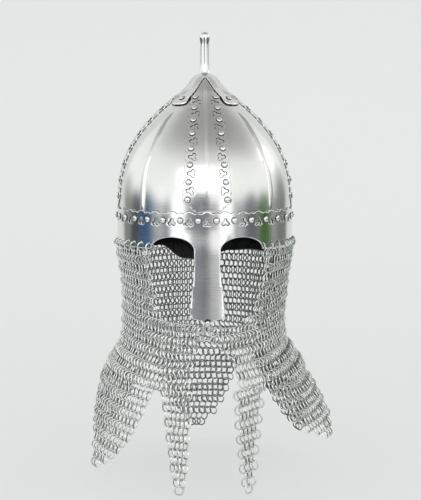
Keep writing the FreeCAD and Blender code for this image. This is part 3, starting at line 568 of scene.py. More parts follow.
def strap_row(length):
    """Distance of the rivet row from the strap's middle."""
    share = (length - first_length) / (RIVET_PITCH * (RIVETS - 1))
    return ROW_LOW + share * (ROW_HIGH - ROW_LOW)


first_length = length_at(2, FIRST_RIVET)
strap_steel = steel("strap steel", (0.81, 0.81, 0.80, 1), (0.74, 0.745, 0.74, 1), 0.17, 0.25)
# the painted shade of the lines round the sheets' edges
edge_shade = Finish("painted edge shade")
edge_shade_noise = edge_shade.noise(edge_shade.place(), 90.0, 3.0)
edge_shade_color = edge_shade.mixed(edge_shade_noise, *EDGE_SHADE_TONES)
painted_edge_shade = edge_shade.surface(Base_Color=edge_shade_color, Roughness=edge_shade_noise * 0.2 + 0.5)
for quarter, name in enumerate(STRAPS):
    widening = STRETCH if quarter % 2 else 1.0
    cusps = []
    for gap in range(RIVETS - 1):
        for share in (0.25, 0.75):
            along = first_length + (gap + share) * RIVET_PITCH
            cusps.append((along, strap_row(along) + STRAP_MARGIN))
    (low, low_off), (high, high_off) = STRAP_FOOT
    edge = [(low_off, low), (strap_row(first_length) + high_off, first_length + high)]
    start = (first_length - 0.0042, strap_row(first_length) + STRAP_MARGIN - STRAP_CUSP)
    edge += [(off, along) for along, off in scallops([start] + cusps, STRAP_BOW, STRAP_CUSP)]
    tip_radius = widening * STRAP_END / sqrt(2) - STRAP_SEAT
    meet_row = strap_row(first_length + 6.75 * RIVET_PITCH) + STRAP_MARGIN
    mitre = []
    for step in range(5):
        off = meet_row + (tip_radius - meet_row) * step / 4
        mitre.append((off, length_at(1, (off + STRAP_SEAT) * sqrt(2) / widening)))
    edge = [point for point in edge if point[1] < mitre[0][1]] + mitre
    outline = edge + [(-off, along) for off, along in reversed(edge)]
    holes = []
    for gap in range(RIVETS - 1):
        along = first_length + (gap + 0.5) * RIVET_PITCH
        off = strap_row(along) - TREFOIL_INSET
        holes.append(trefoil(off, along, STRAP_TREFOIL, 0))
        holes.append([(-x, y) for x, y in trefoil(off, along, STRAP_TREFOIL, 0)])
    creases = [side * share * KEEL_HALF for side in (-1, 1) for share in KEEL_CREASES]
    strap = pierced_blank(name, [outline] + holes, STRAP_THICKNESS, (0.0028, 0.004), creases=creases)
    # a dark film under the strap: painted shade round its edges and trefoils
    line = seat_line(name + "_line", [outline] + holes, (0.004, 0.007))
    keel_foot = first_length + 0.002
    for blank, seat, keel_rise in ((strap, STRAP_SEAT, KEEL_RISE), (line, SEAT_LINE_LOW, 0.0)):
        for vert in blank.verts:
            off, along, depth = vert.co
            keel = max(0.0, 1 - abs(off) / KEEL_HALF) ** 1.6
            keel *= min(1.0, max(0.0, (along - keel_foot) / KEEL_FADE))
            radius = shell_point(0, along).y / -STRETCH + STRAP_SEAT
            turn = asin(max(-1.0, min(1.0, off / (widening * radius)))) + quarter * pi / 2
            vert.co = flared(shell_point(turn, along, seat + depth + keel_rise * keel))
        faced(blank)
    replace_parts(finished(name + "_fret", strap, strap_steel), name)
    finished(name + "_line", line, painted_edge_shade)

# The rivets: low round heads of polished steel, set by hand in two rows down each strap. A painted shade lies
# as a dark ring round the foot of each.
STRAP_RIVET_WIDTH = 0.0066
RIVET_RISE = 0.0021
HEAD_SIDES = 16
# each point of a head's profile: (share of its radius, share of its rise, how dark its painted shade makes it)
HEAD_PROFILE = [(1.12, 0.0, 1.0), (1.12, 0.03, 1.0), (1.0, 0.05, 1.0), (0.98, 0.25, 0.9)]
HEAD_PROFILE += [(0.92, 0.48, 0.3), (0.76, 0.74, 0.0), (0.46, 0.93, 0.0), (0.0, 1.0, 0.0)]


def placed(middle, facing):
    """The matrix that stands a shape on a point with its Z axis in a direction."""
    return Matrix.Translation(middle) @ facing.to_track_quat("Z", "Y").to_matrix().to_4x4()


def stamped(mesh, places):
    """A bmesh with a copy of the mesh at each of its places, which are matrices."""
    copies = bmesh.new()
    for place in places:
        mesh.transform(place)
        copies.from_mesh(mesh)
        mesh.transform(place.inverted())
    return copies


def rivet_row(name, seats, width, rise, node):
    """Round heads, each on a seat that is its foot and the direction out of the sheet."""
    points = [(width / 2 * radius, 0, rise * up) for radius, up, _ in HEAD_PROFILE]
    head = turned(points, HEAD_SIDES, darks=[dark for _, _, dark in HEAD_PROFILE])
    bmesh.ops.holes_fill(head, edges=[edge for edge in head.edges if edge.is_boundary])
    faced(head)
    head_mesh = bpy.data.meshes.new(name + "_head")
    head.to_mesh(head_mesh)
    head.free()
    heads = stamped(head_mesh, [placed(foot, outward) for foot, outward in seats])
    bpy.data.meshes.remove(head_mesh)
    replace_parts(finished(name, heads, rivet_steel, sharp=50), node)


def seat_on_shell(turn, length, out):
    """A rivet's foot on the skull, and the direction out of it."""
    foot = shell_point(turn, length, out)
    beside = shell_point(turn + 0.01, length, out) - foot
    above = shell_point(turn, length + 0.001, out) - foot
    return flared(foot), beside.cross(above).normalized()


rivet_steel = steel("rivet steel", (0.86, 0.86, 0.85, 1), (0.78, 0.78, 0.77, 1), 0.18, 0.1)
for quarter, name in enumerate(STRAPS):
    widening = STRETCH if quarter % 2 else 1.0
    seats = []
    for place in range(RIVETS):
        along = first_length + place * RIVET_PITCH
        radius = shell_point(0, along).y / -STRETCH
        aside = asin(strap_row(along) / (widening * radius))
        for turn in (quarter * pi / 2 - aside, quarter * pi / 2 + aside):
            seats.append(seat_on_shell(turn, along, STRAP_SEAT + STRAP_THICKNESS))
    rivet_row(name + "_heads", seats, STRAP_RIVET_WIDTH, RIVET_RISE, name + "_rivets")

# The brow band and the nasal, cut from one sheet: a scalloped top edge, a pierced trefoil between each two
# rivets, small holes along the rim for the mail and two eye arches. The nasal's tongue is curled into a hook.
BAND_SEAT = 0.0002
BAND_THICKNESS = 0.0016
BAND_HEIGHT = 0.0405
BAND_RIVETS = 32
BAND_RIVET_HEIGHT = 0.0325
BAND_RIVET_WIDTH = 0.0069
BAND_RIVET_RISE = 0.0024
BAND_TREFOIL_HEIGHT = 0.0303
BAND_TREFOIL = 0.0051
RIM_HOLES = 52
RIM_HOLE_HEIGHT = 0.0065
RIM_HOLE_RADIUS = 0.0011
EYE_OFFSET = 0.0377
EYE_HALF = 0.0233
EYE_HEIGHT = 0.0140
EYE_STEPS = 24
# the top edge's bows over a trefoil and over a rivet, and how far it is drawn in between them
BAND_BOWS = (0.0026, 0.0010)
BAND_CUSP = 0.0009
# the nasal's side from the eye down to the tongue, as (half width, height)
NASAL_SIDE = [(0.01456, -0.002), (0.01415, -0.010), (0.01400, -0.018), (0.01466, -0.026), (0.01570, -0.036)]
NASAL_SIDE += [(0.01710, -0.048), (0.01840, -0.059), (0.01895, -0.066), (0.01890, -0.0695)]
NASAL_SIDE += [(0.01820, -0.0722), (0.01645, -0.0739), (0.01350, -0.0748), (0.01055, -0.0756)]
NASAL_SIDE += [(0.00760, -0.0764), (0.00520, -0.0773), (0.00340, -0.0784)]
# the nasal leans forward below the rim, stands a little out of the band and is flatter than it
NASAL_LEAN = 0.0026
LEAN_START = 0.012
LEAN_LENGTH = 0.0715
NASAL_HALF = 0.0185
NASAL_RISE = 0.0016
LEFT_FLAT = 0.0001
RIGHT_FLAT = 0.0004
# the part of the band, along it and up it, over which its curve goes over into the nasal's
NASAL_REACH = (0.028, 0.020)
NASAL_FADE = (0.030, 0.020)
HOOK_RADIUS = 0.0030
HOOK_HALF = 0.0036
HOOK_CURL = -205
HOOK_FOOT = -0.0778
HOOK_STEPS = 16
HOOK_TAPER = 0.55
# the painted shade in the hook's mouth: how far its middle lies above the hook's foot, and half its height
MOUTH_RISE = 0.0010
MOUTH_HALF = 0.0036
BAND_PLAN_RADIUS = 0.1076
band_length = tau * BAND_PLAN_RADIUS


def circle(radius, sides, across=0.0, up=0.0):
    """The points of a round hole."""
    angles = [tau * step / sides for step in range(sides)]
    return [(across + radius * cos(angle), up + radius * sin(angle)) for angle in angles]


def band_along(x):
    """Place along the flat band of a point at this distance from the middle, seen from the front."""
    return asin(x / (PLATE_RADIUS + BAND_SEAT)) / tau * band_length


pitch = band_length / BAND_RIVETS
half = band_length / 2
cusps = []
for place in range(BAND_RIVETS):
    middle = -half + place * pitch
    for share in (0.31, 0.69):
        cusps.append((middle + share * pitch, BAND_HEIGHT))
cusps = [(-half, BAND_HEIGHT + 0.0006)] + cusps + [(half, BAND_HEIGHT + 0.0006)]
outline = []
for index, (low_end, high_end) in enumerate(zip(cusps, cusps[1:])):
    outline += scallops([low_end, high_end], BAND_BOWS[index % 2], BAND_CUSP)[:-1]
outline += [(half, BAND_HEIGHT), (half, 0.0)]
right_rim = []
for step in range(EYE_STEPS + 1):
    angle = pi * step / EYE_STEPS
    x = EYE_OFFSET + EYE_HALF * cos(angle)
    right_rim.append((band_along(x), EYE_HEIGHT * sin(angle)))
right_rim += NASAL_SIDE
outline += right_rim + [(-x, z) for x, z in reversed(right_rim)]
outline.append((-half, 0.0))
trefoils = []
for place in range(1, BAND_RIVETS):
    trefoils.append(trefoil(-half + place * pitch, BAND_TREFOIL_HEIGHT, BAND_TREFOIL, 90, 0.8))
rim_holes = []
for place in range(RIM_HOLES):
    middle = -half + (place + 0.5) * band_length / RIM_HOLES
    if abs(middle) > band_along(EYE_OFFSET + EYE_HALF) + 2 * RIM_HOLE_RADIUS:
        rim_holes.append(circle(RIM_HOLE_RADIUS, 8, middle, RIM_HOLE_HEIGHT))


def brow_front(x, z, depth):
    """The point of the nasal's sheet at a distance from the middle, a height and a depth out of its back."""
    radius = PLATE_RADIUS + BAND_SEAT + depth
    arc = -STRETCH * radius * cos(asin(max(-1.0, min(1.0, x / radius))))
    below = max(0.0, -z)
    forward = NASAL_LEAN * below**2 / (below + LEAN_START) / LEAN_LENGTH
    flat = (LEFT_FLAT if x < 0 else RIGHT_FLAT) * min(1.0, (x / NASAL_HALF) ** 2)
    forward += (NASAL_RISE + flat) * smoothstep(0.026, -0.006, z)
    return Vector((x, arc - forward, z))


band = pierced_blank("brow_band", [outline] + trefoils + rim_holes, BAND_THICKNESS, (0.0026, 0.0030), 0.0004)
for vert in band.verts:
    along, z, depth = vert.co
    turn = tau * along / band_length
    radius = PLATE_RADIUS + BAND_SEAT + depth
    on_band = Vector((radius * sin(turn), -STRETCH * radius * cos(turn), z))
    near = smoothstep(*NASAL_REACH, abs(along)) * smoothstep(*NASAL_FADE, z)
    if near:
        x = (PLATE_RADIUS + BAND_SEAT) * sin(turn) if z > 0 else along
        vert.co = on_band.lerp(brow_front(x, z, depth), near)
    else:
        vert.co = on_band
bmesh.ops.remove_doubles(band, verts=band.verts, dist=2e-6)
# painted shade in the hook's mouth, where the curl shades the nasal
grime = band.verts.layers.float.new("grime")
for vert in band.verts:
    mouth = hypot(vert.co.x / HOOK_HALF, (vert.co.z - HOOK_FOOT - MOUTH_RISE) / MOUTH_HALF)
    vert[grime] = smoothstep(1.25, 0.75, mouth)
faced(band)
hook_foot = brow_front(0.0, HOOK_FOOT, 0.0)
hook_face = brow_front(0.0, HOOK_FOOT, BAND_THICKNESS)
section = []
for side, y in ((-1, hook_foot.y), (1, hook_foot.y), (1, hook_face.y), (-1, hook_face.y)):
    section.append(band.verts.new((side * HOOK_HALF, y, HOOK_FOOT)))
section_face = band.faces.new(section)
axle = (0, hook_face.y - HOOK_RADIUS, HOOK_FOOT)
kept = set(band.verts)
curl = radians(HOOK_CURL)
bmesh.ops.spin(band, geom=[section_face], cent=axle, axis=(1, 0, 0), angle=curl, steps=HOOK_STEPS)
for vert in set(band.verts) - kept:
    curled = degrees(atan2(axle[1] - vert.co.y, HOOK_FOOT - vert.co.z))
    vert.co.x *= 1 - HOOK_TAPER * smoothstep(0.35, 1.0, ((curled + 90) % 360) / -HOOK_CURL)
faced(band)
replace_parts(finished("brow_band_sheet", band, strap_steel), "brow_band")
# a dark film under the band's top edge and trefoils: painted shade
top_edge = [point for point in outline if point[1] > BAND_HEIGHT - 0.0015]
under = [(half, BAND_TREFOIL_HEIGHT - 0.009), (-half, BAND_TREFOIL_HEIGHT - 0.009)]
line = seat_line("brow_band_line", [top_edge + under] + trefoils, (0.0045, 0.012))
for vert in line.verts:
    along, z, depth = vert.co
    turn = tau * min(half, max(-half, along)) / band_length
    radius = PLATE_RADIUS + SEAT_LINE_LOW + depth
    vert.co = (radius * sin(turn), -STRETCH * radius * cos(turn), z)
bmesh.ops.remove_doubles(line, verts=line.verts, dist=2e-6)
faced(line)
finished("brow_band_line", line, painted_edge_shade)

turns = [tau * (place + 0.5) / BAND_RIVETS for place in range(BAND_RIVETS)]
band_seats = [seat_on_shell(turn, BAND_RIVET_HEIGHT, BAND_SEAT + BAND_THICKNESS) for turn in turns]
rivet_row("brow_band_heads", band_seats, BAND_RIVET_WIDTH, BAND_RIVET_RISE, "brow_band_rivets")

# The apex cap: a thin sheet raised to a cone, with four lobes cut between deep hollows and a rolled lip, and
# riveted once through each lobe.
CAP_SEAT = 0.0016
CAP_DROP = 0.0013
CAP_THICKNESS = 0.0012
CAP_LOBE_RADIUS = 0.0455
CAP_HOLE = 0.0058
CAP_RIVET_RADIUS = 0.0372
CAP_RIVET_WIDTH = 0.0066
CAP_LIP = 0.0009
# how near a strap's middle the cap lies on it, and how far off it lies down on the plates
ON_STRAP = (0.0198, 0.0174)
# half of a lobe's edge, from the hollow to its middle, as (share of its radius, turn from the hollow)
CAP_EDGE = [(0.25, 0.0), (0.30, 0.022), (0.37, 0.043), (0.47, 0.057), (0.58, 0.066), (0.70, 0.072)]
CAP_EDGE += [(0.80, 0.077), (0.88, 0.0795), (0.94, 0.083), (0.975, 0.090), (0.99, 0.100)]
CAP_EDGE += [(1.0, 0.112), (1.0, 0.125)]

cap_edge = []
for lobe in range(4):
    corner = [(share, lobe / 4 + turn) for share, turn in CAP_EDGE[:-1]]
    corner += [(share, (lobe + 1) / 4 - turn) for share, turn in reversed(CAP_EDGE[1:])]
    for share, turn in corner:
        angle = tau * turn
        radius = CAP_LOBE_RADIUS * share
        cap_edge.append((radius * sin(angle), -STRETCH * radius * cos(angle)))
cap_hole = circle(CAP_HOLE, 18)
cap = pierced_blank("apex_cap", [cap_edge, cap_hole], CAP_THICKNESS, (0.0028, 0.0028))


def length_for(radius, out):
    """The length up the meridian where a layer this far out has this radius."""
    return meridian[last_step(lambda row: row[1] + out * row[3] > radius)][0]


def near_cap_edge(x, y):
    """Distance from the cap's outline, measured at its points."""
    return min(hypot(x - a, y - b) for a, b in cap_edge)


def over_straps(x, y):
    """1 where a point of the cap lies on a strap, 0 where it lies down on the plates between two."""
    return smoothstep(*ON_STRAP, min(abs(x), abs(y) / STRETCH))


# a dark film under the cap: painted shade round its edge and hole
cap_line = seat_line("apex_cap_line", [cap_edge, cap_hole], (0.0028, 0.0028))
line_seat = CAP_SEAT - STRAP_SEAT + SEAT_LINE_LOW
for blank, seat, lip_rise in ((cap, CAP_SEAT, CAP_LIP), (cap_line, line_seat, 0.0)):
    for vert in blank.verts:
        x, y, depth = vert.co
        radius = hypot(x, y / STRETCH)
        angle = atan2(x, -y / STRETCH)
        out = seat + depth - CAP_DROP * (1 - over_straps(x, y))
        lip = lip_rise * smoothstep(0.0026, 0.0008, near_cap_edge(x, y))
        vert.co = flared(shell_point(angle, length_for(radius, out), out + lip))
    faced(blank)
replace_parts(finished("apex_cap_sheet", cap, strap_steel), "apex_cap")
finished("apex_cap_line", cap_line, painted_edge_shade)
length = length_for(CAP_RIVET_RADIUS, CAP_THICKNESS)
turns = [tau * (lobe + 0.5) / 4 for lobe in range(4)]
cap_seats = [seat_on_shell(turn, length, CAP_SEAT - CAP_DROP + CAP_THICKNESS) for turn in turns]
rivet_row("apex_cap_heads", cap_seats, CAP_RIVET_WIDTH, RIVET_RISE, "apex_cap_rivets")

# The spike: a turned rod that flares into the cap, with a neck under its ball, and a tang through the crown
# that is peened over a square washer inside.
# its profile up from the peened end, as (radius, height): the tang, the foot and the neck, then the ball
SPIKE_PROFILE = [(0.0, 0.1745), (0.0034, 0.1745), (0.0050, 0.1765), (0.0030, 0.1768), (0.0030, 0.1880)]
SPIKE_PROFILE += [(0.0100, 0.1885), (0.0102, 0.1912), (0.0086, 0.1925), (0.0070, 0.1946), (0.0060, 0.1972)]
SPIKE_PROFILE += [(0.0055, 0.2005), (0.0053, 0.2060), (0.0052, 0.2150), (0.00515, 0.2240), (0.00515, 0.2285)]
SPIKE_PROFILE += [(0.0053, 0.2310), (0.0057, 0.2332), (0.0060, 0.2352), (0.0060, 0.2370), (0.0057, 0.2389)]
SPIKE_PROFILE += [(0.0048, 0.2407), (0.0034, 0.2419), (0.0017, 0.2425), (0.0, 0.2426)]
SPIKE_SIDES = 40
spike = turned([(radius, 0, up) for radius, up in SPIKE_PROFILE], SPIKE_SIDES)
faced(spike)
spike_steel = steel("spike steel", (0.80, 0.80, 0.79, 1), (0.72, 0.725, 0.72, 1), 0.11, 0.15)
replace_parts(finished("spike_rod", spike, spike_steel, sharp=50), "spike")
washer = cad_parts["crown_washer"]
washer.data.materials.clear()
washer.data.materials.append(strap_steel)

# The liner: black leather, creased from wear, that hangs a little below the rim behind the eye arches and is
# cut into tongues that draw in under the crown.
LINER_THICKNESS = 0.0020
# its profile up from the hem, as (radius, height)
LINER_LINE = [(0.0905, -0.027), (0.0925, -0.014), (0.0972, 0.0), (0.0976, 0.024), (0.0976, 0.048)]
LINER_LINE += [(0.090, 0.066), (0.0690, 0.094), (0.0415, 0.124), (0.0245, 0.147)]
LINER_ROWS = 44
# the hem's height all round, as (turn from the front, height): from the back by the left to the back again
HEM_LINE = [(-0.5, -0.0310), (-0.46, -0.0300), (-0.40, -0.0115), (-0.30, -0.0180), (-0.14, -0.0030)]
HEM_LINE += [(0.14, -0.0030), (0.30, -0.0180), (0.375, -0.0165), (0.44, -0.0195), (0.5, -0.0310)]
LINER_TONGUES = 8
LINER_SLOT_HALF = 0.0035
LINER_SLOT_LEAST = 0.0004
SLOT_FOOT = 0.056
LINER_COLUMNS = 240
LINER_CREASE = 0.0028
# the part in front that is cut away behind the eye arches: how far to each side and how high
BROW_HALF = 0.0635
BROW_TOP = 0.0175
HIDE_TONES = ((0.012, 0.012, 0.012, 1), (0.045, 0.043, 0.042, 1))


def between(points, place):
    """The point at a place, counted in points, on a smooth line through them."""
    at = min(int(place), len(points) - 2)
    share = place - at
    near = zip(*(points[max(0, min(len(points) - 1, at + step))] for step in (-1, 0, 1, 2)))
    smooth = []
    for a, b, c, d in near:
        bend = share**2 * (2 * a - 5 * b + 4 * c - d) + share**3 * (3 * b - a - 3 * c + d)
        smooth.append(0.5 * (2 * b + share * (c - a) + bend))
    return smooth


def hem_height(turn):
    """Height of the liner's lower edge at a turn from the front."""
    for (first, low), (last, high) in zip(HEM_LINE, HEM_LINE[1:]):
        if first <= turn <= last:
            return low + (high - low) * smoothstep(first, last, turn)
    return LINER_LINE[0][1]


leather = Finish("black leather")
hide_place = leather.place()
hide_cells = {"Vector": hide_place, "Scale": 520.0}
pores = leather.node("TexVoronoi", {"feature": "DISTANCE_TO_EDGE"}, hide_cells)
folds = leather.noise(hide_place, 60.0, 6.0, 1.2)
worn = leather.mixed(folds, *HIDE_TONES)
hide_relief = folds * 1.4 + pores * 0.5
hide_bump = leather.bump(hide_relief, 0.7, 0.0012)
black_leather = leather.surface(Base_Color=worn, Roughness=folds * 0.3 + 0.3, Normal=hide_bump)

profile = []
for step in range(LINER_ROWS + 1):
    radius, up = between(LINER_LINE, (len(LINER_LINE) - 1) * step / LINER_ROWS)
    profile.append((0, -radius, up))
liner = turned(profile, LINER_COLUMNS)
for vert in liner.verts:
    x, y, z = vert.co
    radius = hypot(x, y)
    angle = atan2(x, -y)
    if z < 0:
        z *= hem_height(angle / tau) / LINER_LINE[0][1]
    loose = smoothstep(0.012, -0.02, z) + smoothstep(0.052, 0.08, z)
    crease = noise.noise(Vector((9 * sin(angle), 9 * cos(angle), z * 60))) - 0.4
    radius += LINER_CREASE * loose * crease
    vert.co = (radius * sin(angle), -STRETCH * radius * cos(angle), z)
gone = []
for face in liner.faces:
    middle = face.calc_center_median()
    angle = atan2(middle.x, -middle.y / STRETCH)
    off = remainder(angle - pi / LINER_TONGUES, tau / LINER_TONGUES)
    slot = LINER_SLOT_HALF * smoothstep(0.054, LINER_LINE[-1][1], middle.z) + LINER_SLOT_LEAST
    brow = middle.y < 0 and abs(middle.x) < BROW_HALF and middle.z < BROW_TOP
    if brow or (middle.z > SLOT_FOOT and abs(off) * hypot(middle.x, middle.y) < slot):
        gone.append(face)
bmesh.ops.delete(liner, geom=gone, context="FACES")
faced(liner)
liner_piece = finished("leather_liner_hide", liner, black_leather, sharp=80)
hide = liner_piece.modifiers.new("hide", "SOLIDIFY")
hide.thickness = LINER_THICKNESS
hide.offset = -1
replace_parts(liner_piece, "leather_liner")

# The mail: butted rings of bright wire, each through four others, in rows that lean one way and the other by
# turns. Rim rings hang it from the band's holes, and it opens for the face and down the front.
RING_WIDTH = 0.0119
RING_WIRE = 0.0017
RING_SIDES = 12
WIRE_SIDES = 4
RINGS_AROUND = 112
FRONT_CROWDING = 0.024
ROW_PITCH = 0.0077
FIRST_ROW = -0.0055
LAST_ROW = -0.1515
MAIL_ROWS = 20
RING_LEANS = (radians(-33), radians(54))
RIM_RING_LEAN = radians(62)
RIM_RING_DROP = 0.0050
RIM_RING_OUT = 0.0012
# how much a ring's lean and turn differ from the next one's, in radians, and its place
LEAN_SPREAD = 0.09
TURN_SPREAD = 0.12
PLACE_SPREAD = 0.0003
# the room that the rings' middles leave to the edges of the face opening and of the slit
FACE_MARGIN = 0.0045
SLIT_MARGIN = 0.004
# the rings by the face's edge hang looser: how near it above and beside, and their share of the lean
EDGE_HIGH = 0.0095
EDGE_WIDE = 0.0105
EDGE_LOOSE = 0.35
LEFT_SAG = 0.0125
RIGHT_SAG = 0.0165
NECK_DRAW = 0.0028
# the mail's profile down from the rim, as (radius, height)
MAIL_LINE = [(0.1003, 0.0), (0.0990, -0.012), (0.0968, -0.026), (0.0942, -0.042), (0.0932, -0.060)]
MAIL_LINE += [(0.0932, -0.085), (0.0940, -0.102), (0.0975, -0.116), (0.1080, -0.132), (0.1185, -0.151)]
# the sides of the face opening and of the slit below it, as (half width, height)
FACE_LINE = [(0.0610, 0.010), (0.0610, -0.028), (0.0580, -0.040), (0.0550, -0.057), (0.0520, -0.069)]
FACE_LINE += [(0.0470, -0.078), (0.0380, -0.083), (0.0200, -0.0855), (0.0, -0.0860)]
SLIT_LINE = [(0.0, -0.0965), (0.014, -0.113), (0.0215, -0.128), (0.024, -0.152)]
SLIT_SHIFT = 0.006
ZINC_TONES = ((0.74, 0.79, 0.76, 1), (0.97, 1.0, 0.975, 1))
# the dark tone of the rings' inner sides and backs: partly oil, partly painted shade
MAIL_OIL_AND_SHADE = (0.026, 0.036, 0.031, 1)

dice = random.Random(7)
mail = Finish("mail steel")
mail_place = mail.place()
tarnish = mail.noise(mail_place, 120.0)
zinc = mail.mixed(tarnish, *ZINC_TONES)
# the rings' inner sides and backs go over to a dark tone: partly oil, partly painted shade
grime = mail.node("Attribute", {"attribute_name": "grime"}, output=2) ** 1.1
zinc = mail.mixed(grime, zinc, MAIL_OIL_AND_SHADE)
wire_marks = mail.noise(mail_place, 900.0, 1.0)
wire_bump = mail.bump(wire_marks, 0.15, 0.0002)
rubbed = tarnish * 0.12 + grime * 0.25 + 0.10
mail_steel = mail.surface(Base_Color=zinc, Metallic=1.0, Roughness=rubbed, Normal=wire_bump)

# one ring, whose inner side is dark, partly from the oil that a cloth can't reach and partly as painted shade
# between the rings, and whose back is dark as painted shade
ring = bmesh.new()
wire = bmesh.ops.create_circle(ring, segments=WIRE_SIDES, radius=RING_WIRE / 2, cap_ends=False)["verts"]
bmesh.ops.rotate(ring, verts=wire, cent=(0, 0, 0), matrix=Matrix.Rotation(radians(90), 3, "X"))
bmesh.ops.translate(ring, verts=wire, vec=((RING_WIDTH - RING_WIRE) / 2, 0, 0))
hoop = {"cent": (0, 0, 0), "axis": (0, 0, 1), "angle": tau, "steps": RING_SIDES, "use_merge": True}
bmesh.ops.spin(ring, geom=wire + ring.edges[:], **hoop)
bmesh.ops.remove_doubles(ring, verts=ring.verts, dist=1e-6)
faced(ring)
oil_and_shade_layer = ring.verts.layers.float.new("grime")
for vert in ring.verts:
    inward = ((RING_WIDTH - RING_WIRE) / 2 - vert.co.xy.length) / (RING_WIRE / 2)
    # the back of the wire, which faces away from the light, is darkened as painted shade
    behind = -vert.co.z / (RING_WIRE / 2)
    vert[oil_and_shade_layer] = max(0.0, inward, 0.9 * behind)
ring_mesh = bpy.data.meshes.new("ring")
ring.to_mesh(ring_mesh)
ring.free()


def half_width(line, height):
    """Half width of an outline at a height, or nothing past its ends."""
    for (wide, high), (narrow, low) in zip(line, line[1:]):
        if low <= height <= high:
            return narrow + (wide - narrow) * (height - low) / (high - low)
    return 0.0


def linked(name, seats, body=None):
    """A piece of mail: a ring at each seat, which is a middle, a direction outward, one across and a lean."""
    places = []
    for middle, outward, across, lean in seats:
        lean += dice.uniform(-LEAN_SPREAD, LEAN_SPREAD)
        facing = outward * cos(lean) + across * sin(lean)
        facing += outward.cross(across) * dice.uniform(-TURN_SPREAD, TURN_SPREAD)
        jitter = Vector(dice.uniform(-PLACE_SPREAD, PLACE_SPREAD) for axis in range(3))
        places.append(placed(middle + jitter, facing))
    return finished(name, stamped(ring_mesh, places), mail_steel, body, sharp=180)


def mail_spot(turn, radius, height, slope):
    """The middle of a ring on the mail, the direction out of it and the level one across it."""
    middle = Vector((radius * sin(turn), -STRETCH * radius * cos(turn), height))
    across = Vector((cos(turn), STRETCH * sin(turn), 0)).normalized()
    level = Vector((across.y, -across.x, 0))
    return middle, (level * cos(slope) + Vector((0, 0, sin(slope)))).normalized(), across


def mail_radius(height, turn):
    """Radius of the mail's middle at a height: it draws in at the neck, most of all on the right."""
    depth = max(0.0, -height)
    last = len(MAIL_LINE) - 2
    at = next((row for row in range(last) if depth <= -MAIL_LINE[row + 1][1]), last)
    share = (depth + MAIL_LINE[at][1]) / (MAIL_LINE[at][1] - MAIL_LINE[at + 1][1])
    radius = between(MAIL_LINE, at + min(1.0, share))[0]
    right = smoothstep(0.08, 0.22, turn) * smoothstep(0.5, 0.36, turn)
    neck = smoothstep(-0.055, -0.085, height) * smoothstep(-0.128, -0.110, height)
    return radius - NECK_DRAW * right * neck


curtain = {"right": [], "left": []}
for row in range(MAIL_ROWS):
    for place in range(RINGS_AROUND):
        turn = remainder((place + 0.5 * (row % 2)) / RINGS_AROUND, 1.0)
        turn -= FRONT_CROWDING * sin(tau * turn)
        angle = tau * turn
        sag = (RIGHT_SAG if turn > 0 else LEFT_SAG) * smoothstep(0.24, 0.03, abs(turn))
        height = FIRST_ROW - row * ROW_PITCH
        height -= sag * smoothstep(-0.004, -0.055, height)
        if height < LAST_ROW:
            continue
        radius = mail_radius(height, turn)
        x = radius * sin(angle)
        if abs(turn) < 0.25:
            if abs(x) < half_width(FACE_LINE, height) + FACE_MARGIN:
                continue
            aside = x - SLIT_SHIFT * smoothstep(-0.095, -0.12, height)
            if height < SLIT_LINE[0][1] and abs(aside) < half_width(SLIT_LINE, height) + SLIT_MARGIN:
                continue
        slope = atan2(mail_radius(height - 0.002, turn) - radius, 0.002)
        edge = half_width(FACE_LINE, height + EDGE_HIGH) + EDGE_WIDE
        loose = EDGE_LOOSE if abs(turn) < 0.25 and abs(x) < edge else 1.0
        seat = (*mail_spot(angle, radius, height, slope), RING_LEANS[row % 2] * loose)
        curtain["right" if turn > 0 else "left"].append(seat)
for place in range(RIM_HOLES):
    turn = remainder((place + 0.5) / RIM_HOLES + 0.5, 1.0)
    angle = tau * turn
    if abs(turn) > 0.25 or abs(0.1 * sin(angle)) > EYE_OFFSET + EYE_HALF:
        spot = mail_spot(angle, PLATE_RADIUS + RIM_RING_OUT, RIM_HOLE_HEIGHT - RIM_RING_DROP, 0.0)
        curtain["right" if turn > 0 else "left"].append((*spot, RIM_RING_LEAN))
for side, seats in curtain.items():
    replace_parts(linked("mail_curtain_" + side, seats, "helmet"), "mail_curtain")

# The dags: the pointed ends of the mail, whose rows lose rings at both sides down to the tip. The two front
# ones are the halves of one dag, and the shoulder ones are wide and hang outward.
HEM_RADIUS = 0.1187
HEM_HEIGHT = -0.1515
HEM_AHEAD = 0.120
DAG_LENGTH = 0.112
DAG_TIP_HALF = 0.0045
TIP_LOOSE = 0.3
DAG_ROW_PITCH = 0.0081
DAG_RING_STEP = 0.0049
SHOULDER_RING_STEP = 0.0070
SHOULDER_RING_LEANS = (radians(-24), radians(38))
RING_MARGIN = 0.0045
# longer than the half of any row
WIDEST_ROW = 0.09
# each dag: its name, turn of its middle from the front, half of the turn it spans, its lean as a turn, its
# length as a share of DAG_LENGTH, the turn by which its tip lies aside, and how much its rows rise to the
# right
DAGS = [
    ("front_left_dag", -0.0555, 0.0255, 0.012, 1.02, 0.0075, -0.04),
    ("front_right_dag", 0.0555, 0.0255, 0.012, 1.02, -0.007, 0.22),
    ("left_shoulder_dag", -0.166, 0.0795, 0.05, 0.87, -0.004, -0.10),
    ("right_shoulder_dag", 0.166, 0.0795, 0.1, 0.64, -0.0125, 0.10),
    ("rear_left_dag", -0.333, 0.0795, 0.04, 0.9, 0.0, 0.0),
    ("rear_right_dag", 0.333, 0.0795, 0.04, 0.87, 0.0, 0.0),
    ("rear_dag", 0.5, 0.0795, 0.03, 0.95, 0.0, 0.0),
]
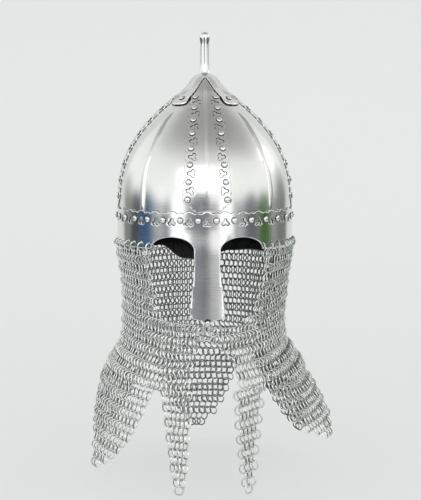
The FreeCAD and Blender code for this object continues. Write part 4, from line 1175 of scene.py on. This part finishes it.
# the half widths of a dag on its left and right side, between those of its tip, 0, and its root, 1: each row
# is (share of the dag's length, left, right)
SIDES_TIP = (1.0, 0.0, 0.0)
REAR_SIDES = [(0.0, 1.0, 1.0), (0.35, 0.8, 0.8), (0.6, 0.62, 0.62), (0.8, 0.4, 0.4)]
SIDES = {
    "front_left_dag": [(0.0, 1.0, 1.0), (0.5, 0.58, 0.7), (0.8, 0.32, 0.45)],
    "front_right_dag": [(0.0, 1.0, 1.0), (0.5, 0.68, 0.48), (0.8, 0.4, 0.34)],
    "left_shoulder_dag": [(0.0, 1.0, 1.0), (0.35, 0.65, 0.9), (0.6, 0.4, 0.8), (0.8, 0.22, 0.55)],
    "right_shoulder_dag": [(0.0, 1.0, 1.0), (0.35, 0.95, 0.75), (0.6, 0.85, 0.6), (0.8, 0.6, 0.4)],
}


def side_share(rows, share, column):
    """The share of a dag's half width on its left (column 1) or right (column 2) at a share of its length."""
    for high, low in zip(rows, rows[1:] + [SIDES_TIP]):
        if share <= low[0]:
            return high[column] + (low[column] - high[column]) * (share - high[0]) / (low[0] - high[0])
    return 0.0


for name, turn, half_turn, lean, length_share, shift, rise in DAGS:
    turn += asin(SLIT_SHIFT / HEM_AHEAD) / tau
    slope = tau * lean
    length = DAG_LENGTH * length_share
    angle = tau * turn
    sideways = Vector((cos(angle), sin(angle), 0))
    local = hypot(cos(angle), STRETCH * sin(angle))
    root = mail_spot(angle, HEM_RADIUS, 0, 0)[0].dot(sideways)
    root_halves = []
    for side in (-1, 1):
        end = mail_spot(angle + side * tau * half_turn, HEM_RADIUS, 0, 0)[0]
        root_halves.append(abs(end.dot(sideways) - root))

    def ring_place(off, down):
        """The ring at a distance along the dag's row from its middle and a length down from its root."""
        share = min(1.0, max(0.0, down / length))
        radius = HEM_RADIUS + down * sin(slope)
        middle_turn = angle + tau * shift * share
        height = HEM_HEIGHT - down * cos(slope)
        spot = mail_spot(middle_turn + off / (radius * local), radius, height, slope)
        away = spot[0].dot(sideways) - mail_spot(middle_turn, radius, 0, 0)[0].dot(sideways)
        column = 1 if away < 0 else 2
        half = root_halves[column - 1]
        limit = DAG_TIP_HALF + side_share(SIDES.get(name, REAR_SIDES), share, column) * (half - DAG_TIP_HALF)
        return spot, limit - abs(away)

    def row_end(side, down):
        """Distance along a row to the last ring that the dag's side leaves room for."""
        low, high = 0.0, WIDEST_ROW
        for halving in range(12):
            middle = (low + high) / 2
            room = ring_place(side * middle, down - rise * side * middle)[1]
            low, high = (middle, high) if room > RING_MARGIN else (low, middle)
        return side * low

    places = []
    slim = name.startswith("front")
    ring_leans = RING_LEANS if slim else SHOULDER_RING_LEANS
    rows = round(length / DAG_ROW_PITCH)
    spare = ceil(abs(rise) * 0.06 / DAG_ROW_PITCH)
    for row in range(-spare, rows + spare):
        down = (row + 0.35) * DAG_ROW_PITCH
        left, right = row_end(-1, down), row_end(1, down)
        count = max(1, round((right - left) / (DAG_RING_STEP if slim else SHOULDER_RING_STEP)))
        step = (right - left) / count
        for number in range(count + (row + 1) % 2):
            off = left + (number + 0.5 * (row % 2)) * step
            ring_down = down - rise * off
            if 0 <= ring_down <= length - RING_MARGIN / 2:
                spot = ring_place(off, ring_down)[0]
                loose = TIP_LOOSE if ring_down > length - 1.5 * DAG_ROW_PITCH else 1.0
                places.append((*spot, ring_leans[row % 2] * loose))
    piece = linked(name + "_rings", places)
    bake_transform(piece)
    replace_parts(piece, name)

# The front ring, which hangs the middle of the mail's face edge on the hook, and the three rings of the edge
# that it joins: one on each side and one below.
# each ring: how far it lies across, back and up from the front ring, and its lean in radians
FRONT_RINGS = [
    ((0, 0, 0), 0.15),
    ((-0.0066, 0.003, -0.0055), 0.5),
    ((0.0066, 0.003, -0.0055), -0.4),
    ((-0.001, 0.006, -0.0105), 0.1),
]
low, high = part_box("front_ring")
ring_middle = Vector((0, (low[1] + high[1]) / 2, (low[2] + high[2]) / 2))
ahead, aside = Vector((0, -1, 0)), Vector((1, 0, 0))
front = [(ring_middle + Vector(off), ahead, aside, lean) for off, lean in FRONT_RINGS]
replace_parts(linked("front_ring_links", front, "helmet"), "front_ring")
bpy.data.meshes.remove(ring_mesh)
